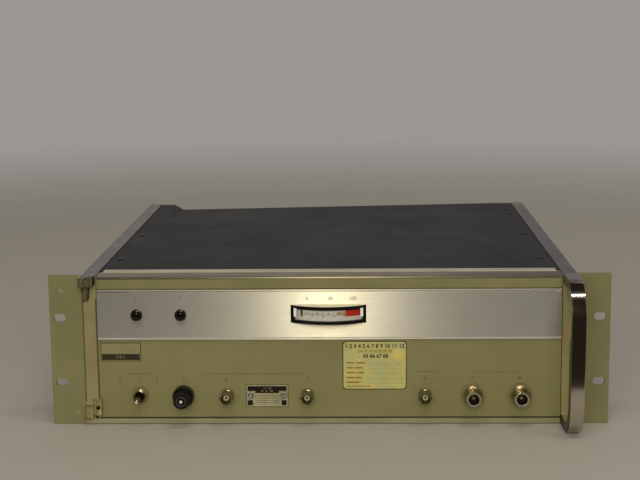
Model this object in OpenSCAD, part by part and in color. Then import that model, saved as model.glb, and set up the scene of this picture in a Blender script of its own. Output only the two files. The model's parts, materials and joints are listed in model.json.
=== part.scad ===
// Microwave amplifier in a rack cabinet three units high, with the left handle broken off.
// The origin is the middle of the bounding box at its bottom: +X right, +Y to the back, +Z up.
// Each module works from the face of the rack ears, where y is 0, and placed() moves it into the frame.

/* [Cabinet] */
// Width over the two side frames
body_w = 425.5; // [415:0.5:450]
// Height of the cabinet and of the rack ears
body_h = 132.6; // [128:0.1:178]
// Depth behind the face of the rack ears
body_d = 416.2; // [400:0.1:560]
// Width of a side frame
frame_w = 12.5; // [10:0.1:16]
// Thickness of the rails and of the handle bar
rail_t = 8; // [6:0.1:11]
// Thickness of the web between the rails
web_t = 2.5; // [2:0.1:4]
// Depth of the front pillar of a side frame
front_pillar = 24; // [20:0.5:32]
// Depth of the rear pillar of a side frame
rear_pillar = 20; // [18:0.5:32]
// Radius of the rear corners of a side frame
rear_r = 6; // [2:0.5:10]
// Gap that lets a sheet drop between its neighbours
sheet_gap = 0.25; // [0.15:0.05:0.5]

/* [Handle] */
// How far the handle stands in front of the rack ears
handle_reach = 50.8; // [42:0.1:64]
// Outer corner radius of the handle
handle_r = 30; // [20:0.5:40]
// How far the broken rail end stands out on the left
stub_reach = 16; // [4:0.5:24]
// How far the broken lower end stands out on the left
stump_reach = 5; // [3:0.5:10]
// Height of the thin tongue left under the broken rail
stub_tongue = 14; // [8:0.5:20]
// Radius of the hole in the broken lug
stub_hole_r = 1.8; // [1:0.1:2.4]

/* [Rack ears] */
// Width of an ear beside its side frame
ear_w = 28.55; // [24:0.05:40]
// Thickness of an ear
ear_t = 3; // [2:0.1:4]
// Depth of the leg that lies along the side frame
ear_leg = 26; // [22:0.5:40]
// How far the leg stops short of the ear's top and bottom
ear_leg_drop = 6; // [2:0.5:9]
// Distance from a slot's middle to the ear's outer edge
slot_edge = 8.75; // [7:0.05:11]
// Distance in height between the slots
slot_pitch_z = 57.15; // [40:0.05:80]
// Height of a slot
slot_w = 7.1; // [5:0.1:8]
// Length of a slot
slot_l = 10.3; // [8.5:0.1:12]

/* [Covers] */
// Thickness of the top and bottom covers
cover_t = 1.2; // [0.8:0.1:2]
// How far the covers lie inside the rails
cover_drop = 1; // [0.5:0.1:1.6]
// Width of the ledges that carry the covers
ledge_w = 13; // [11:0.5:18]
// Thickness of the ledges
ledge_t = 2; // [1.5:0.1:3]
// Thickness of a side cover
side_cover_t = 1.5; // [1:0.1:1.8]
// Depth of the seat for a side cover
seat_d = 2; // [1.9:0.1:3]
// Width of the seat for a side cover
seat_w = 5; // [3:0.5:8]
// How far the rear panel lies inside the rails
rear_inset = 12; // [9:0.5:16]
// Thickness of the rear panel
rear_t = 2; // [1.2:0.1:3]
// Number of vent slots in a row of the bottom cover
vent_count = 12; // [4:1:20]
// Width of a vent slot
vent_w = 4; // [2:0.5:6]
// Length of a vent slot
vent_l = 40; // [20:1:60]

/* [Front panel] */
// Thickness of the front panel
panel_t = 3.2; // [2.5:0.1:5]
// Height of the panel's lower edge
panel_z0 = 6; // [5.5:0.1:8]
// Height of the filler strip's upper edge
filler_h = 4.8; // [4:0.1:5.2]
// How far the filler strip stands out
filler_out = 1.5; // [0.5:0.1:3]
// Height of the trim band
band_h = 42; // [30:0.5:44]
// Distance from the top of the cabinet to the top of the band
band_drop = 14; // [12:0.1:20]
// Thickness of the trim band
band_t = 2; // [1.5:0.1:3]
// Bevel along the band's edges
band_bevel = 1; // [0.5:0.1:1.4]
// Height of the top rail's lip in front of the cover
lip_drop = 3.7; // [2.6:0.1:4]
// Depth where the raised bead on the top rail starts
bead_y0 = 13; // [10:0.5:20]
// Depth where the raised bead on the top rail ends
bead_y1 = 25; // [22:0.5:34]
// How far the bead stops short of the side frames
bead_short = 4; // [2:0.5:8]

/* [Lamps] */
// Distance of the first control column from the middle
column_1 = 165.5; // [150:0.5:180]
// Distance of the second control column from the middle
column_2 = 127.5; // [110:0.5:140]
// Radius of a lamp lens
lens_r = 5; // [3.5:0.1:6]
// How far a lens stands out of the band
lens_out = 4.5; // [2.5:0.1:7]
// Radius of a lamp holder
lamp_holder_r = 8; // [7:0.1:10]
// Length of a lamp holder
lamp_holder_l = 26; // [18:0.5:36]

/* [Meter] */
// Width of the meter window
meter_w = 64.5; // [56:0.5:72]
// Height of the meter window
meter_h = 15.6; // [15:0.1:20]
// How far the window bulges out of the band
meter_bulge = 10; // [8:0.1:14]
// Wall of the clear window
window_t = 1.5; // [1:0.1:2]
// Thickness of the black mask behind the window
mask_t = 1.2; // [0.8:0.1:1.6]
// Height of the opening in the mask
mask_open = 9.8; // [6:0.1:10]
// Thickness of the scale plate
scale_t = 0.8; // [0.5:0.1:1.2]
// Space between mask and scale for the pointer
pointer_space = 2.8; // [2.4:0.1:4]
// Angle of the pointer at rest, left of the middle
pointer_rest = 26; // [15:1:30]
// Radius of the pointer's pivot
pivot_r = 0.8; // [0.6:0.05:1.2]
// Space in the housing behind the magnet
magnet_room = 4; // [2:0.5:20]

/* [Switch and fuse] */
// Height of the toggle and the fuse
switch_z = 25.8; // [24:0.1:32]
// How far the toggle and the fuse sit right of the lamps
switch_shift = 0.9; // [0:0.1:3]
// Radius of the toggle's bushing
bushing_r = 5.2; // [5:0.1:6.5]
// How far the bushing stands out
bushing_out = 6.5; // [5:0.1:11]
// How far the toggle lever stands out
lever_out = 23.5; // [16:0.5:28]
// Radius of the lever's tip
lever_tip_r = 2.4; // [1.8:0.1:3]
// Radius of the ball that the lever tilts on
lever_ball_r = 3.3; // [2.8:0.1:3.8]
// Radius of the fuse holder's collar
collar_r = 9.1; // [8:0.1:11]
// How far the fuse holder's collar stands out
collar_out = 8; // [5:0.5:12]
// Radius of the fuse cap
cap_r = 7; // [6.6:0.1:8]
// Length of the fuse cap
cap_l = 13; // [10:0.5:16]
// Number of grips round the fuse cap
cap_grips = 16; // [10:1:24]
// Radius of the fuse holder's barrel
fuse_barrel_r = 6.2; // [5.8:0.1:7]
// Radius of the fuse cartridge
fuse_r = 3.17; // [2.5:0.01:3.3]
// Length of the fuse cartridge
fuse_l = 31.8; // [20:0.1:34]

/* [Connectors] */
// Height of the row of jacks
jack_z = 26.5; // [24:0.1:32]
// Place of the left bayonet jack
bnc_left_x = -88.5; // [-100:0.1:-80]
// Place of the middle bayonet jack
bnc_middle_x = -18.8; // [-30:0.1:-15]
// Place of the right bayonet jack
bnc_right_x = 82.8; // [75:0.1:95]
// Place of the input jack
n_input_x = 124; // [115:0.1:130]
// Place of the output jack
n_output_x = 165; // [155:0.1:172]
// Radius of a bayonet jack's shell
bnc_r = 4.8; // [4.6:0.05:5.4]
// Radius of a bayonet jack's bore
bnc_bore_r = 4.05; // [3.8:0.05:4.2]
// How far a bayonet jack stands out
bnc_out = 17; // [11:0.5:18]
// Radius of a threaded jack's shell
n_r = 7.9; // [7:0.05:8.5]
// Radius of a threaded jack's bore
n_bore_r = 4.65; // [4.2:0.05:5]
// How far a threaded jack stands out
n_out = 18.5; // [16:0.5:24]
// Depth of a jack's bore down to its insulator
jack_bore_l = 5; // [4:0.5:7]

/* [Plates and labels] */
// Width of the data plate
plate_w = 35.9; // [30:0.1:42]
// Height of the data plate
plate_h = 19.2; // [12:0.1:20]
// Width of the paper label
label_w = 53.9; // [40:0.1:60]
// Height of the paper label
label_h = 41.7; // [30:0.1:44]
// Width of the property tag
tag_w = 34; // [24:0.1:40]
// Height of the property tag
tag_h = 15.3; // [10:0.1:20]

/* [Tube and supplies] */
// Radius of the travelling-wave tube's barrel
tube_r = 24; // [22:0.5:26]
// Height of the tube's axis
tube_z = 66; // [62:0.5:70]
// Depth where the tube's barrel starts
tube_y0 = 70; // [60:1:90]
// Radius of the cooler's fins
fin_r = 30; // [26:0.5:34]
// Number of fins on the cooler
fin_count = 8; // [4:1:10]
// Radius of an RF line
line_r = 3.2; // [2:0.1:4]
// Width of a fan
fan_w = 80; // [74:1:88]
// Depth of a fan
fan_d = 38; // [30:0.5:44]
// Number of fan blades
blade_count = 5; // [3:1:9]
// Height of the deck's underside
deck_z = 8; // [6:0.5:12]
// Thickness of the deck's sheet
deck_t = 1.5; // [1:0.1:2.5]
// Radius of a filter capacitor
capacitor_r = 17; // [12:0.5:20]
// Height of a filter capacitor
capacitor_h = 78; // [50:1:95]

/* [Hidden] */
$fn = 64;
half_w = body_w / 2;
rack_w = body_w + 2 * ear_w;
slot_x = rack_w / 2 - slot_edge;
frame_in = half_w - frame_w;
panel_half = frame_in - sheet_gap;
front_y = (handle_reach - body_d) / 2;
bite = 1;

// Heights of the covers and their ledges
cover_top = body_h - cover_drop;
cover_under = cover_top - cover_t;
top_ledge = cover_under - ledge_t;
floor_top = cover_drop + cover_t;
bottom_ledge = floor_top + ledge_t;
rear_out = body_d - rear_inset;
rear_in = rear_out - rear_t;
rear_lip_t = 3;
rear_lip_w = 10;
rear_z0 = bottom_ledge + sheet_gap;
rear_z1 = top_ledge - sheet_gap;
shelf_y = bead_y1 + 8;
shelf_t = 3;
lip_h = 1.4;
lip_slant = 1.2;
bead_h = 0.6;

// Front panel levels
panel_z1 = body_h - lip_drop - sheet_gap;
panel_back = panel_t + sheet_gap;
flange_t = 2.6;
flange_drop = 14;
band_z1 = body_h - band_drop;
band_z0 = band_z1 - band_h;
band_mid = band_z1 - band_h / 2;
lamp_rise = 0.2;
lamp_z = band_mid + lamp_rise;
front_rail_d = 27;
front_rail_h = 13;

// Screws: shank radius, head radius and head height of the large and the small size
big_screw = [2, 3.6, 2.2];
small_screw = [1.5, 2.6, 1];
plate_screw = [1.2, 2.3, 0.9];
plate_screw_inset = 3.8;
screw_fit = 0.1;
driver_slot = 0.7;
cover_screw_x = frame_in - ledge_w + 4;
cover_screw_y = [78, 206, 334];
ear_screw_z = [16, body_h / 2, body_h - 16];
ear_screw_y = ear_leg - 10;
ear_screw_l = 8;
rear_screw_z = [32, body_h - 32];
rear_screw_x = frame_in - rear_lip_w / 2;
deck_screw_y = [60, 200, 340];
deck_flange = 18;
deck_screw_z = deck_z + deck_t + deck_flange / 2;

// Lug of the broken handle and its hole
stub_lug_z = 15.5;
stub_lug_half = 7.2;
stub_hole_inset = 1.25;
stub_hole_l = 8;

// Meter: the window is part of a cylinder about the pointer's pivot
meter_rise = 0.8;
meter_z0 = lamp_z + meter_rise - meter_h / 2;
meter_z1 = meter_z0 + meter_h;
meter_face = -band_t;
meter_r = (pow(meter_w / 2, 2) + pow(meter_bulge, 2)) / (2 * meter_bulge);
pivot_y = meter_face - meter_bulge + meter_r;
mask_gap = 0.2;
mask_r = meter_r - window_t - mask_gap;
scale_r = mask_r - mask_t - pointer_space;
arm_t = 0.7;
arm_gap = 0.4;
arm_z = meter_z1 - window_t - arm_gap - arm_t;
pointer_drop = 8;
hub_r = 3;
hub_h = 5;
tail_l = 9;
scale_z0 = meter_z0 + window_t + arm_gap;
scale_z1 = arm_z - arm_gap;
scale_half = meter_w / 2 - window_t - mask_gap - mask_t - arm_gap;
mask_rise = 2.2;
magnet_y0 = pivot_y + tail_l + 3;
magnet_y1 = magnet_y0 + 8;
magnet_half = 14;
housing_wall = 2;
housing_y1 = magnet_y1 + magnet_room + housing_wall;

// Toggle switch and fuse
toggle_x = switch_shift - column_1;
fuse_x = switch_shift - column_2;
lever_y = -1.5;
lever_gap = 0.3;
switch_half = 7.5;
switch_d = 20;
toggle_nut_t = 1.8;
toggle_nut_wall = 1.8;
pivot_pin_r = 0.9;
pivot_pin_l = bushing_r - 0.4;
pin_fit = 0.05;
mouth_l = 3;
mouth_wall = 0.6;
neck_r = 1.6;
tail_r = 1.3;
switch_tail = 6;
cap_gap = 0.3;
cap_wall = 1.4;
cap_end = 3.5;
nose_l = 5;
nose_r = cap_r - cap_wall - cap_gap;
fuse_front = -collar_out - cap_gap - cap_l + cap_end;
fuse_end = 3;
fuse_room = 24;
fuse_barrel_y = fuse_front + fuse_l + fuse_room;
fuse_bore_r = fuse_r + 0.9;
grip_r = 0.7;

// Jacks
fit = 0.1;
bnc_x = [bnc_left_x, bnc_middle_x, bnc_right_x];
n_x = [n_input_x, n_output_x];
bnc_core_r = 2.5;
n_core_r = 3.6;
n_base_r = 9.6;
bnc_base = 0.8;
bnc_base_t = 1.2;
n_base_t = 3.2;
n_nose_r = 6.4;
n_nose_l = 6.5;
lug_r = 1;
lug_reach = 1.2;
lug_back = 4;
bnc_pin_r = 0.9;
n_pin_r = 1.5;
pin_tail = 4;
jack_rear = 14;
n_tail = 7;
n_tail_r = 4.6;
nut_t = 2.6;
nut_wall = 3;

// Plates and labels
plate_t = 0.6;
plate_x = -53.9;
plate_z = 25.2;
label_t = 0.3;
label_x = 39.5;
label_gap = 3.55;
label_z = band_z0 - label_gap - label_h / 2;
label_r = 3;
tag_t = 0.5;
tag_inset = 2.5;
tag_gap = 4.3;
tag_z = band_z0 - tag_gap - tag_h / 2;

// Tube, fan and supplies
deck_top = deck_z + deck_t;
deck_y0 = 8;
deck_y1 = rear_in - rear_lip_t - 1;
fan_y = rear_in - fan_d;
tube_x = (n_input_x + n_output_x) / 2;
cooler_gap = 6;
cooler_l = 38;
cooler_y1 = fan_y - cooler_gap;
tube_y1 = cooler_y1 - cooler_l;
coupler_inset = 22;
coupler_in = tube_y0 + coupler_inset;
coupler_out = tube_y1 - coupler_inset;
coupler_r = 6;
coupler_drop = tube_z - tube_r;
elbow_r = 12;
line_start = panel_t + jack_rear + n_tail;
gun_l = 20;
gun_r = 20;
cradle_half = 14;
cradle_d = 20;
cradle_inset = 50;
cradle_drop = 8;
cradle_y = [tube_y0 + cradle_inset, tube_y1 - cradle_inset];
fan_bore_r = fan_w / 2 - 3;
fan_screw = fan_w / 2 - 4.25;
motor_r = 14;
motor_l = 12;
shaft_r = 2;
shaft_fit = 0.05;
rotor_y0 = fan_y + motor_l + 1;
rotor_y1 = fan_y + fan_d - 4;
rotor_r = fan_bore_r - 1.6;
guard_t = 1.5;
inlet_x = -150;
inlet_z = 45;
inlet_half = [11, 7.5];
inlet_wall = 2.5;
inlet_d = 14;
inlet_ear = 20;
selector_x = -90;
selector_z = 45;
selector_half = [13, 8];
slider_w = 6;
slider_h = 5.6;
slider_travel = 6;
slider_gap = 0.25;
board_x0 = -185;
board_x1 = -85;
board_y0 = 90;
board_y1 = 230;
board_z = deck_top + 16;
board_t = 1.6;
standoff_r = 3;
board_edge = 6;
resistor = [3, 22];
small_can = [7, 26];
transistor = [4.6, 7];
part_y = board_y0 + 20;
resistor_pitch = 9;
can_pitch = 24;
transistor_pitch = 22;
resistor_x = board_x0 + 12;
small_can_x = board_x0 + 52;
transistor_x = board_x1 - 16;
core = [76, 45, 64];
core_leg = 25.4;
core_x = -140;
core_back = 78;
core_y = rear_in - core_back;
foot_w = 13;
foot_t = 2;
coil_over = 13;
capacitor_x = [-66, -22, 22];
capacitor_back = 52;
capacitor_y = rear_in - capacitor_back;
clamp_t = 2;
clamp_h = 8;
can_half = 55;
can_y = [80, 180];
can_h = 66;
terminal_r = 7;
terminal_h = 14;

// Shared shapes

// Moves a piece from the face of the rack ears into the part's frame.
module placed() {
    translate([0, front_y, 0]) children();
}

// A box between its lowest and its highest corner.
module box(low, high) {
    translate(low) cube(high - low);
}

// A box that reaches as far to the left as to the right.
module wide_box(half, y0, y1, z0, z1) {
    box([-half, y0, z0], [half, y1, z1]);
}

// Round bars along each axis.
module rod_x(y, z, r, x0, x1) {
    translate([x0, y, z]) rotate([0, 90, 0]) cylinder(h = x1 - x0, r = r);
}

module rod_y(x, z, r, y0, y1) {
    translate([x, y0, z]) rotate([-90, 0, 0]) cylinder(h = y1 - y0, r = r);
}

module rod_z(x, y, r, z0, z1) {
    translate([x, y, z0]) cylinder(h = z1 - z0, r = r);
}

// A hexagon along Y, given by half its width over flats.
module hex_y(x, z, flat, y0, y1) {
    translate([x, y0, z]) rotate([-90, 0, 0]) cylinder(h = y1 - y0, r = flat / cos(30), $fn = 6);
}

// A section of depth and height, drawn out to both sides.
module section_x(half, points) {
    translate([-half, 0, 0]) rotate([90, 0, 90]) linear_extrude(height = 2 * half) polygon(points);
}

// A slab whose two corners at y_round are rounded.
module end_round(x0, x1, y_flat, y_round, z0, z1, r) {
    y_mid = y_round > y_flat ? y_round - r : y_round + r;
    box([x0, min(y_flat, y_mid), z0], [x1, max(y_flat, y_mid), z1]);
    box([x0, min(y_mid, y_round), z0 + r], [x1, max(y_mid, y_round), z1 - r]);
    for (z = [z0 + r, z1 - r]) rod_x(y_mid, z, r, x0, x1);
}

// A thin plate on a face that looks to the front, with rounded corners.
module round_plate(x, z, w, h, t, r) {
    box([x - w / 2 + r, -t, z - h / 2], [x + w / 2 - r, 0, z + h / 2]);
    box([x - w / 2, -t, z - h / 2 + r], [x + w / 2, 0, z + h / 2 - r]);
    for (sx = [-1, 1], sz = [-1, 1]) rod_y(x + sx * (w / 2 - r), z + sz * (h / 2 - r), r, -t, 0);
}

// A slotted screw whose head stands on z = 0 and whose shank points down.
module screw(size, length) {
    difference() {
        union() {
            cylinder(h = size[2], r = size[1]);
            translate([0, 0, -length]) cylinder(h = length + size[2] / 2, r = size[0]);
        }
        translate([-size[1], -driver_slot / 2, size[2] * 0.5]) cube([2 * size[1], driver_slot, size[2]]);
    }
}

// Places of the screws that hold the cabinet together
module each_cover_screw() {
    for (sx = [-1, 1], y = cover_screw_y) translate([sx * cover_screw_x, y, 0]) children();
}

module each_rear_screw() {
    for (sx = [-1, 1], z = rear_screw_z)
        translate([sx * rear_screw_x, rear_out, z]) rotate([-90, 0, 0]) children();
}

module each_fan_screw() {
    for (sx = [-1, 1], sz = [-1, 1])
        translate([tube_x + sx * fan_screw, rear_out + guard_t, tube_z + sz * fan_screw])
            rotate([-90, 0, 0]) children();
}

module each_inlet_screw() {
    for (sx = [-1, 1])
        translate([inlet_x + sx * inlet_ear, rear_out + rear_t, inlet_z]) rotate([-90, 0, 0]) children();
}

module each_plate_screw() {
    for (sx = [-1, 1])
        translate([plate_x + sx * (plate_w / 2 - plate_screw_inset), -plate_t, plate_z]) rotate([90, 0, 0]) children();
}

// Screws of one side, drawn on the right
module each_ear_screw() {
    for (z = ear_screw_z) translate([half_w + ear_t, ear_screw_y, z]) rotate([0, 90, 0]) children();
}

module each_deck_screw() {
    for (y = deck_screw_y) translate([frame_in - deck_t, y, deck_screw_z]) rotate([0, -90, 0]) children();
}

// A clearance hole for a screw, through its seat and past its tip.
module screw_hole(size, length) {
    translate([0, 0, -length - bite]) cylinder(h = length + 2 * bite, r = size[0] + screw_fit);
}

// Side frames, drawn on the right

// The casting behind the rack ears: rails, pillars, web and the ledges that carry the sheets.
module frame_casting() {
    difference() {
        union() {
            end_round(frame_in, half_w, 0, body_d, 0, body_h, rear_r);
            box([frame_in - ledge_w, shelf_y + sheet_gap, top_ledge],
                [frame_in + bite, rear_out, cover_under]);
            box([frame_in - ledge_w, panel_back + front_rail_d + sheet_gap, floor_top],
                [frame_in + bite, rear_out, bottom_ledge]);
            box([frame_in - rear_lip_w, rear_in - rear_lip_t, bottom_ledge - bite],
                [frame_in + bite, rear_in, top_ledge + bite]);
        }
        box([half_w - seat_d, front_pillar, rail_t], [half_w + bite, body_d - rear_pillar, body_h - rail_t]);
        box([frame_in + web_t, front_pillar + seat_w, rail_t + seat_w],
            [half_w, body_d - rear_pillar - seat_w, body_h - rail_t - seat_w]);
        translate([0, 0, cover_top]) each_cover_screw() screw_hole(small_screw, cover_t + ledge_t);
        mirror([0, 0, 1]) translate([0, 0, -cover_drop])
            each_cover_screw() screw_hole(small_screw, cover_t + ledge_t);
        each_rear_screw() screw_hole(small_screw, rear_t + rear_lip_t);
        each_ear_screw() screw_hole(big_screw, ear_t + ear_screw_l);
        each_deck_screw() screw_hole(small_screw, deck_t + web_t);
    }
}

// The handle loop in front of the rack ears.
module handle_loop() {
    difference() {
        end_round(frame_in, half_w, bite, -handle_reach, 0, body_h, handle_r);
        end_round(frame_in - bite, half_w + bite, 0, rail_t - handle_reach, rail_t, body_h - rail_t,
            handle_r - rail_t);
        box([frame_in - bite, 0, rail_t], [half_w + bite, 2 * bite, body_h - rail_t]);
    }
}

// What is left of a handle that broke off: the rail's end, a thin tongue, a foot and a lug.
module handle_stumps() {
    rail_break = [
        [frame_in + 0.6, bite], [frame_in + 1, -0.62 * stub_reach], [frame_in + 3.5, -0.76 * stub_reach],
        [frame_in + 6, -0.7 * stub_reach], [half_w - 4, -0.9 * stub_reach],
        [half_w - 1.5, -stub_reach], [half_w, -0.92 * stub_reach], [half_w, bite]
    ];
    lug_break = [
        [frame_in + 0.4, bite], [frame_in + 0.4, -sheet_gap], [frame_in - 2.4, -sheet_gap],
        [frame_in - 2, -0.6 * stump_reach], [frame_in + 2.6, -0.8 * stump_reach],
        [frame_in + 5, -0.5 * stump_reach], [frame_in + 5, bite]
    ];
    foot_break = [
        [half_w - 7.5, bite], [half_w - 7, -0.35 * stump_reach], [half_w - 3.5, -stump_reach],
        [half_w - 1, -0.6 * stump_reach], [half_w, -0.75 * stump_reach], [half_w, bite]
    ];
    tongue = [
        [half_w - 7, body_h - rail_t + bite], [half_w - 6.2, body_h - rail_t - 0.9 * stub_tongue],
        [half_w - 2.4, body_h - rail_t - stub_tongue], [half_w - 1, body_h - rail_t + bite]
    ];
    foot_h = 12;
    translate([0, 0, body_h - rail_t]) linear_extrude(height = rail_t) polygon(rail_break);
    translate([0, 0, filler_h + sheet_gap]) linear_extrude(height = foot_h) polygon(foot_break);
    translate([0, bite, 0]) rotate([90, 0, 0])
        linear_extrude(height = 0.4 * stub_reach + bite) polygon(tongue);
    translate([0, 0, stub_lug_z - stub_lug_half]) linear_extrude(height = 2 * stub_lug_half) polygon(lug_break);
}

module right_side_frame() {
    color("#85807a") {
        frame_casting();
        handle_loop();
    }
}

module left_side_frame() {
    color("#85807a") mirror([1, 0, 0]) difference() {
        union() {
            frame_casting();
            handle_stumps();
        }
        rod_y(frame_in + stub_hole_inset, stub_lug_z, stub_hole_r, -stump_reach, stub_hole_l);
    }
}

// Rack ears

module rack_ear() {
    difference() {
        union() {
            box([half_w, 0, 0], [rack_w / 2, ear_t, body_h]);
            box([half_w, 0, ear_leg_drop], [half_w + ear_t, ear_leg, body_h - ear_leg_drop]);
        }
        for (side = [-1, 1]) {
            z = body_h / 2 + side * slot_pitch_z / 2;
            reach = (slot_l - slot_w) / 2;
            for (sx = [-1, 1]) rod_y(slot_x + sx * reach, z, slot_w / 2, -bite, ear_t + bite);
            box([slot_x - reach, -bite, z - slot_w / 2], [slot_x + reach, ear_t + bite, z + slot_w / 2]);
        }
        each_ear_screw() screw_hole(big_screw, ear_t + ear_screw_l);
    }
}

module right_rack_ear() {
    color("#6f6a46") rack_ear();
}

module left_rack_ear() {
    color("#6f6a46") mirror([1, 0, 0]) rack_ear();
}

// Sheets and rails of the cabinet

module front_panel() {
    color("#777149") difference() {
        wide_box(panel_half, 0, panel_t, panel_z0, panel_z1);
        for (x = [-column_1, -column_2]) rod_y(x, lamp_z, lens_r + fit, -bite, panel_t + bite);
        wide_box(meter_w / 2 + fit, -bite, panel_t + bite, meter_z0 - fit, meter_z1 + fit);
        rod_y(toggle_x, switch_z, bushing_r + fit, -bite, panel_t + bite);
        rod_y(fuse_x, switch_z, fuse_barrel_r + fit, -bite, panel_t + bite);
        for (x = bnc_x) rod_y(x, jack_z, bnc_r + fit, -bite, panel_t + bite);
        for (x = n_x) rod_y(x, jack_z, n_r + fit, -bite, panel_t + bite);
        each_plate_screw() screw_hole(plate_screw, plate_t + panel_t);
    }
}

module trim_band() {
    color("#b9ad86") difference() {
        section_x(panel_half - 0.4, [
            [0, band_z0], [band_bevel - band_t, band_z0], [-band_t, band_z0 + band_bevel],
            [-band_t, band_z1 - band_bevel], [band_bevel - band_t, band_z1], [0, band_z1]
        ]);
        for (x = [-column_1, -column_2]) rod_y(x, lamp_z, lens_r + fit, -band_t - bite, bite);
        wide_box(meter_w / 2 + fit, -band_t - bite, bite, meter_z0 - fit, meter_z1 + fit);
    }
}

module top_front_rail() {
    lip = body_h - lip_drop;
    shelf = cover_under - sheet_gap;
    color("#8a8474") {
        section_x(frame_in, [
            [0, lip], [0, lip + lip_h], [lip_slant, lip + lip_h + lip_slant / 2], [bead_y0, body_h - bead_h],
            [bead_y0, shelf], [shelf_y, shelf], [shelf_y, shelf - shelf_t],
            [panel_back + flange_t, shelf - shelf_t],
            [panel_back + flange_t, lip - flange_drop], [panel_back, lip - flange_drop], [panel_back, lip]
        ]);
        section_x(frame_in - bead_short, [
            [bead_y0, shelf - bite], [bead_y0, body_h - bead_h], [bead_y0 + bead_h, body_h],
            [bead_y1 - bead_h, body_h], [bead_y1, body_h - bead_h], [bead_y1, shelf - bite]
        ]);
    }
}

module bottom_front_rail() {
    color("#6c6860") section_x(frame_in, [
        [panel_back, floor_top], [panel_back, floor_top + front_rail_h],
        [panel_back + flange_t, floor_top + front_rail_h], [panel_back + flange_t, floor_top + shelf_t],
        [panel_back + front_rail_d, floor_top + shelf_t],
        [panel_back + front_rail_d, floor_top]
    ]);
}

module filler_strip() {
    color("#7a7354") {
        wide_box(panel_half, -filler_out, panel_back, cover_drop / 2, filler_h);
        box([sheet_gap - half_w, -filler_out, cover_drop / 2], [bite - panel_half, 0, filler_h]);
    }
}

module top_cover() {
    color("#3b393a") difference() {
        wide_box(panel_half, bead_y1 + sheet_gap, body_d - 2, cover_under, cover_top);
        translate([0, 0, cover_top]) each_cover_screw() screw_hole(small_screw, cover_t);
    }
}

module bottom_cover() {
    vent_pitch = 2 * vent_w;
    color("#3b393a") difference() {
        wide_box(panel_half, panel_back + front_rail_d + sheet_gap, rear_out, cover_drop, floor_top);
        mirror([0, 0, 1]) translate([0, 0, -cover_drop]) each_cover_screw() screw_hole(small_screw, cover_t);
        for (x = [-core_x - can_half, core_x], i = [0 : vent_count - 1])
            translate([x, (can_y[0] + can_y[1]) / 2 + (i - (vent_count - 1) / 2) * vent_pitch, 0])
                wide_box(vent_l / 2, -vent_w / 2, vent_w / 2, 0, floor_top + bite);
    }
}

module side_cover() {
    box([half_w - seat_d, front_pillar + sheet_gap, rail_t + sheet_gap],
        [half_w - seat_d + side_cover_t, body_d - rear_pillar - sheet_gap, body_h - rail_t - sheet_gap]);
}

module right_side_cover() {
    color("#3b393a") side_cover();
}

module left_side_cover() {
    color("#3b393a") mirror([1, 0, 0]) side_cover();
}

module rear_panel() {
    color("#77736b") difference() {
        wide_box(panel_half, rear_in, rear_out, rear_z0, rear_z1);
        rod_y(tube_x, tube_z, fan_bore_r, rear_in - bite, rear_out + bite);
        each_fan_screw() screw_hole(small_screw, guard_t + rear_t);
        each_rear_screw() screw_hole(small_screw, rear_t);
        each_inlet_screw() screw_hole(small_screw, 2 * rear_t);
        translate([inlet_x, 0, inlet_z])
            wide_box(inlet_half[0] + inlet_wall + fit, rear_in - bite, rear_out + bite,
                -inlet_half[1] - inlet_wall - fit, inlet_half[1] + inlet_wall + fit);
        translate([selector_x, 0, selector_z])
            wide_box((slider_w + slider_travel) / 2 + 2 * slider_gap, rear_in - bite, rear_out + bite,
                -slider_h / 2 - slider_gap, slider_h / 2 + slider_gap);
    }
}

module cabinet_screws() {
    color("#a9a59a") {
        translate([0, 0, cover_top]) each_cover_screw() screw(small_screw, cover_t + ledge_t);
        mirror([0, 0, 1]) translate([0, 0, -cover_drop]) each_cover_screw()
            screw([small_screw[0], small_screw[1], cover_drop * 0.8], cover_t + ledge_t);
        each_rear_screw() screw(small_screw, rear_t + rear_lip_t);
        each_fan_screw() screw(small_screw, guard_t + rear_t + 6);
        each_inlet_screw() screw(small_screw, 2 * rear_t);
        each_plate_screw() screw(plate_screw, plate_t + panel_t);
        for (side = [0, 1]) mirror([side, 0, 0]) {
            each_ear_screw() screw(big_screw, ear_t + ear_screw_l);
            each_deck_screw() screw(small_screw, deck_t + web_t);
        }
    }
}

// Lamps

module lamp_lens(x) {
    cap_h = 2.5;
    tip = -band_t - lens_out;
    dome_r = (lens_r * lens_r + cap_h * cap_h) / (2 * cap_h);
    rod_y(x, lamp_z, lens_r, tip + cap_h, panel_t + 6);
    intersection() {
        translate([x, tip + dome_r, lamp_z]) sphere(r = dome_r);
        rod_y(x, lamp_z, lens_r, tip - bite, tip + cap_h + bite);
    }
}

module lamp_holder(x) {
    difference() {
        rod_y(x, lamp_z, lamp_holder_r, panel_t, panel_t + lamp_holder_l);
        rod_y(x, lamp_z, lens_r + fit, panel_t - bite, panel_t + 6 + fit);
        rod_y(x, lamp_z, lens_r - 0.8, panel_t, panel_t + lamp_holder_l - 4);
    }
}

module standby_lamp_lens() {
    color("#2a1f14") lamp_lens(-column_1);
}

module power_lamp_lens() {
    color("#1a1a18") lamp_lens(-column_2);
}

module standby_lamp_holder() {
    color("#2b2927") lamp_holder(-column_1);
}

module power_lamp_holder() {
    color("#2b2927") lamp_holder(-column_2);
}

// Meter

// The space inside the curved front, down to a radius and inside the given margins.
module meter_space(r, side, edge, back) {
    intersection() {
        rod_z(0, pivot_y, r, meter_z0 + edge, meter_z1 - edge);
        wide_box(meter_w / 2 - side, meter_face - meter_bulge - bite, back, meter_z0 - bite, meter_z1 + bite);
    }
}

module meter_window() {
    color("#c9c4a8", 0.35) difference() {
        meter_space(meter_r, 0, 0, panel_t);
        meter_space(meter_r - window_t, window_t, window_t, panel_t + bite);
    }
}

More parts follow.
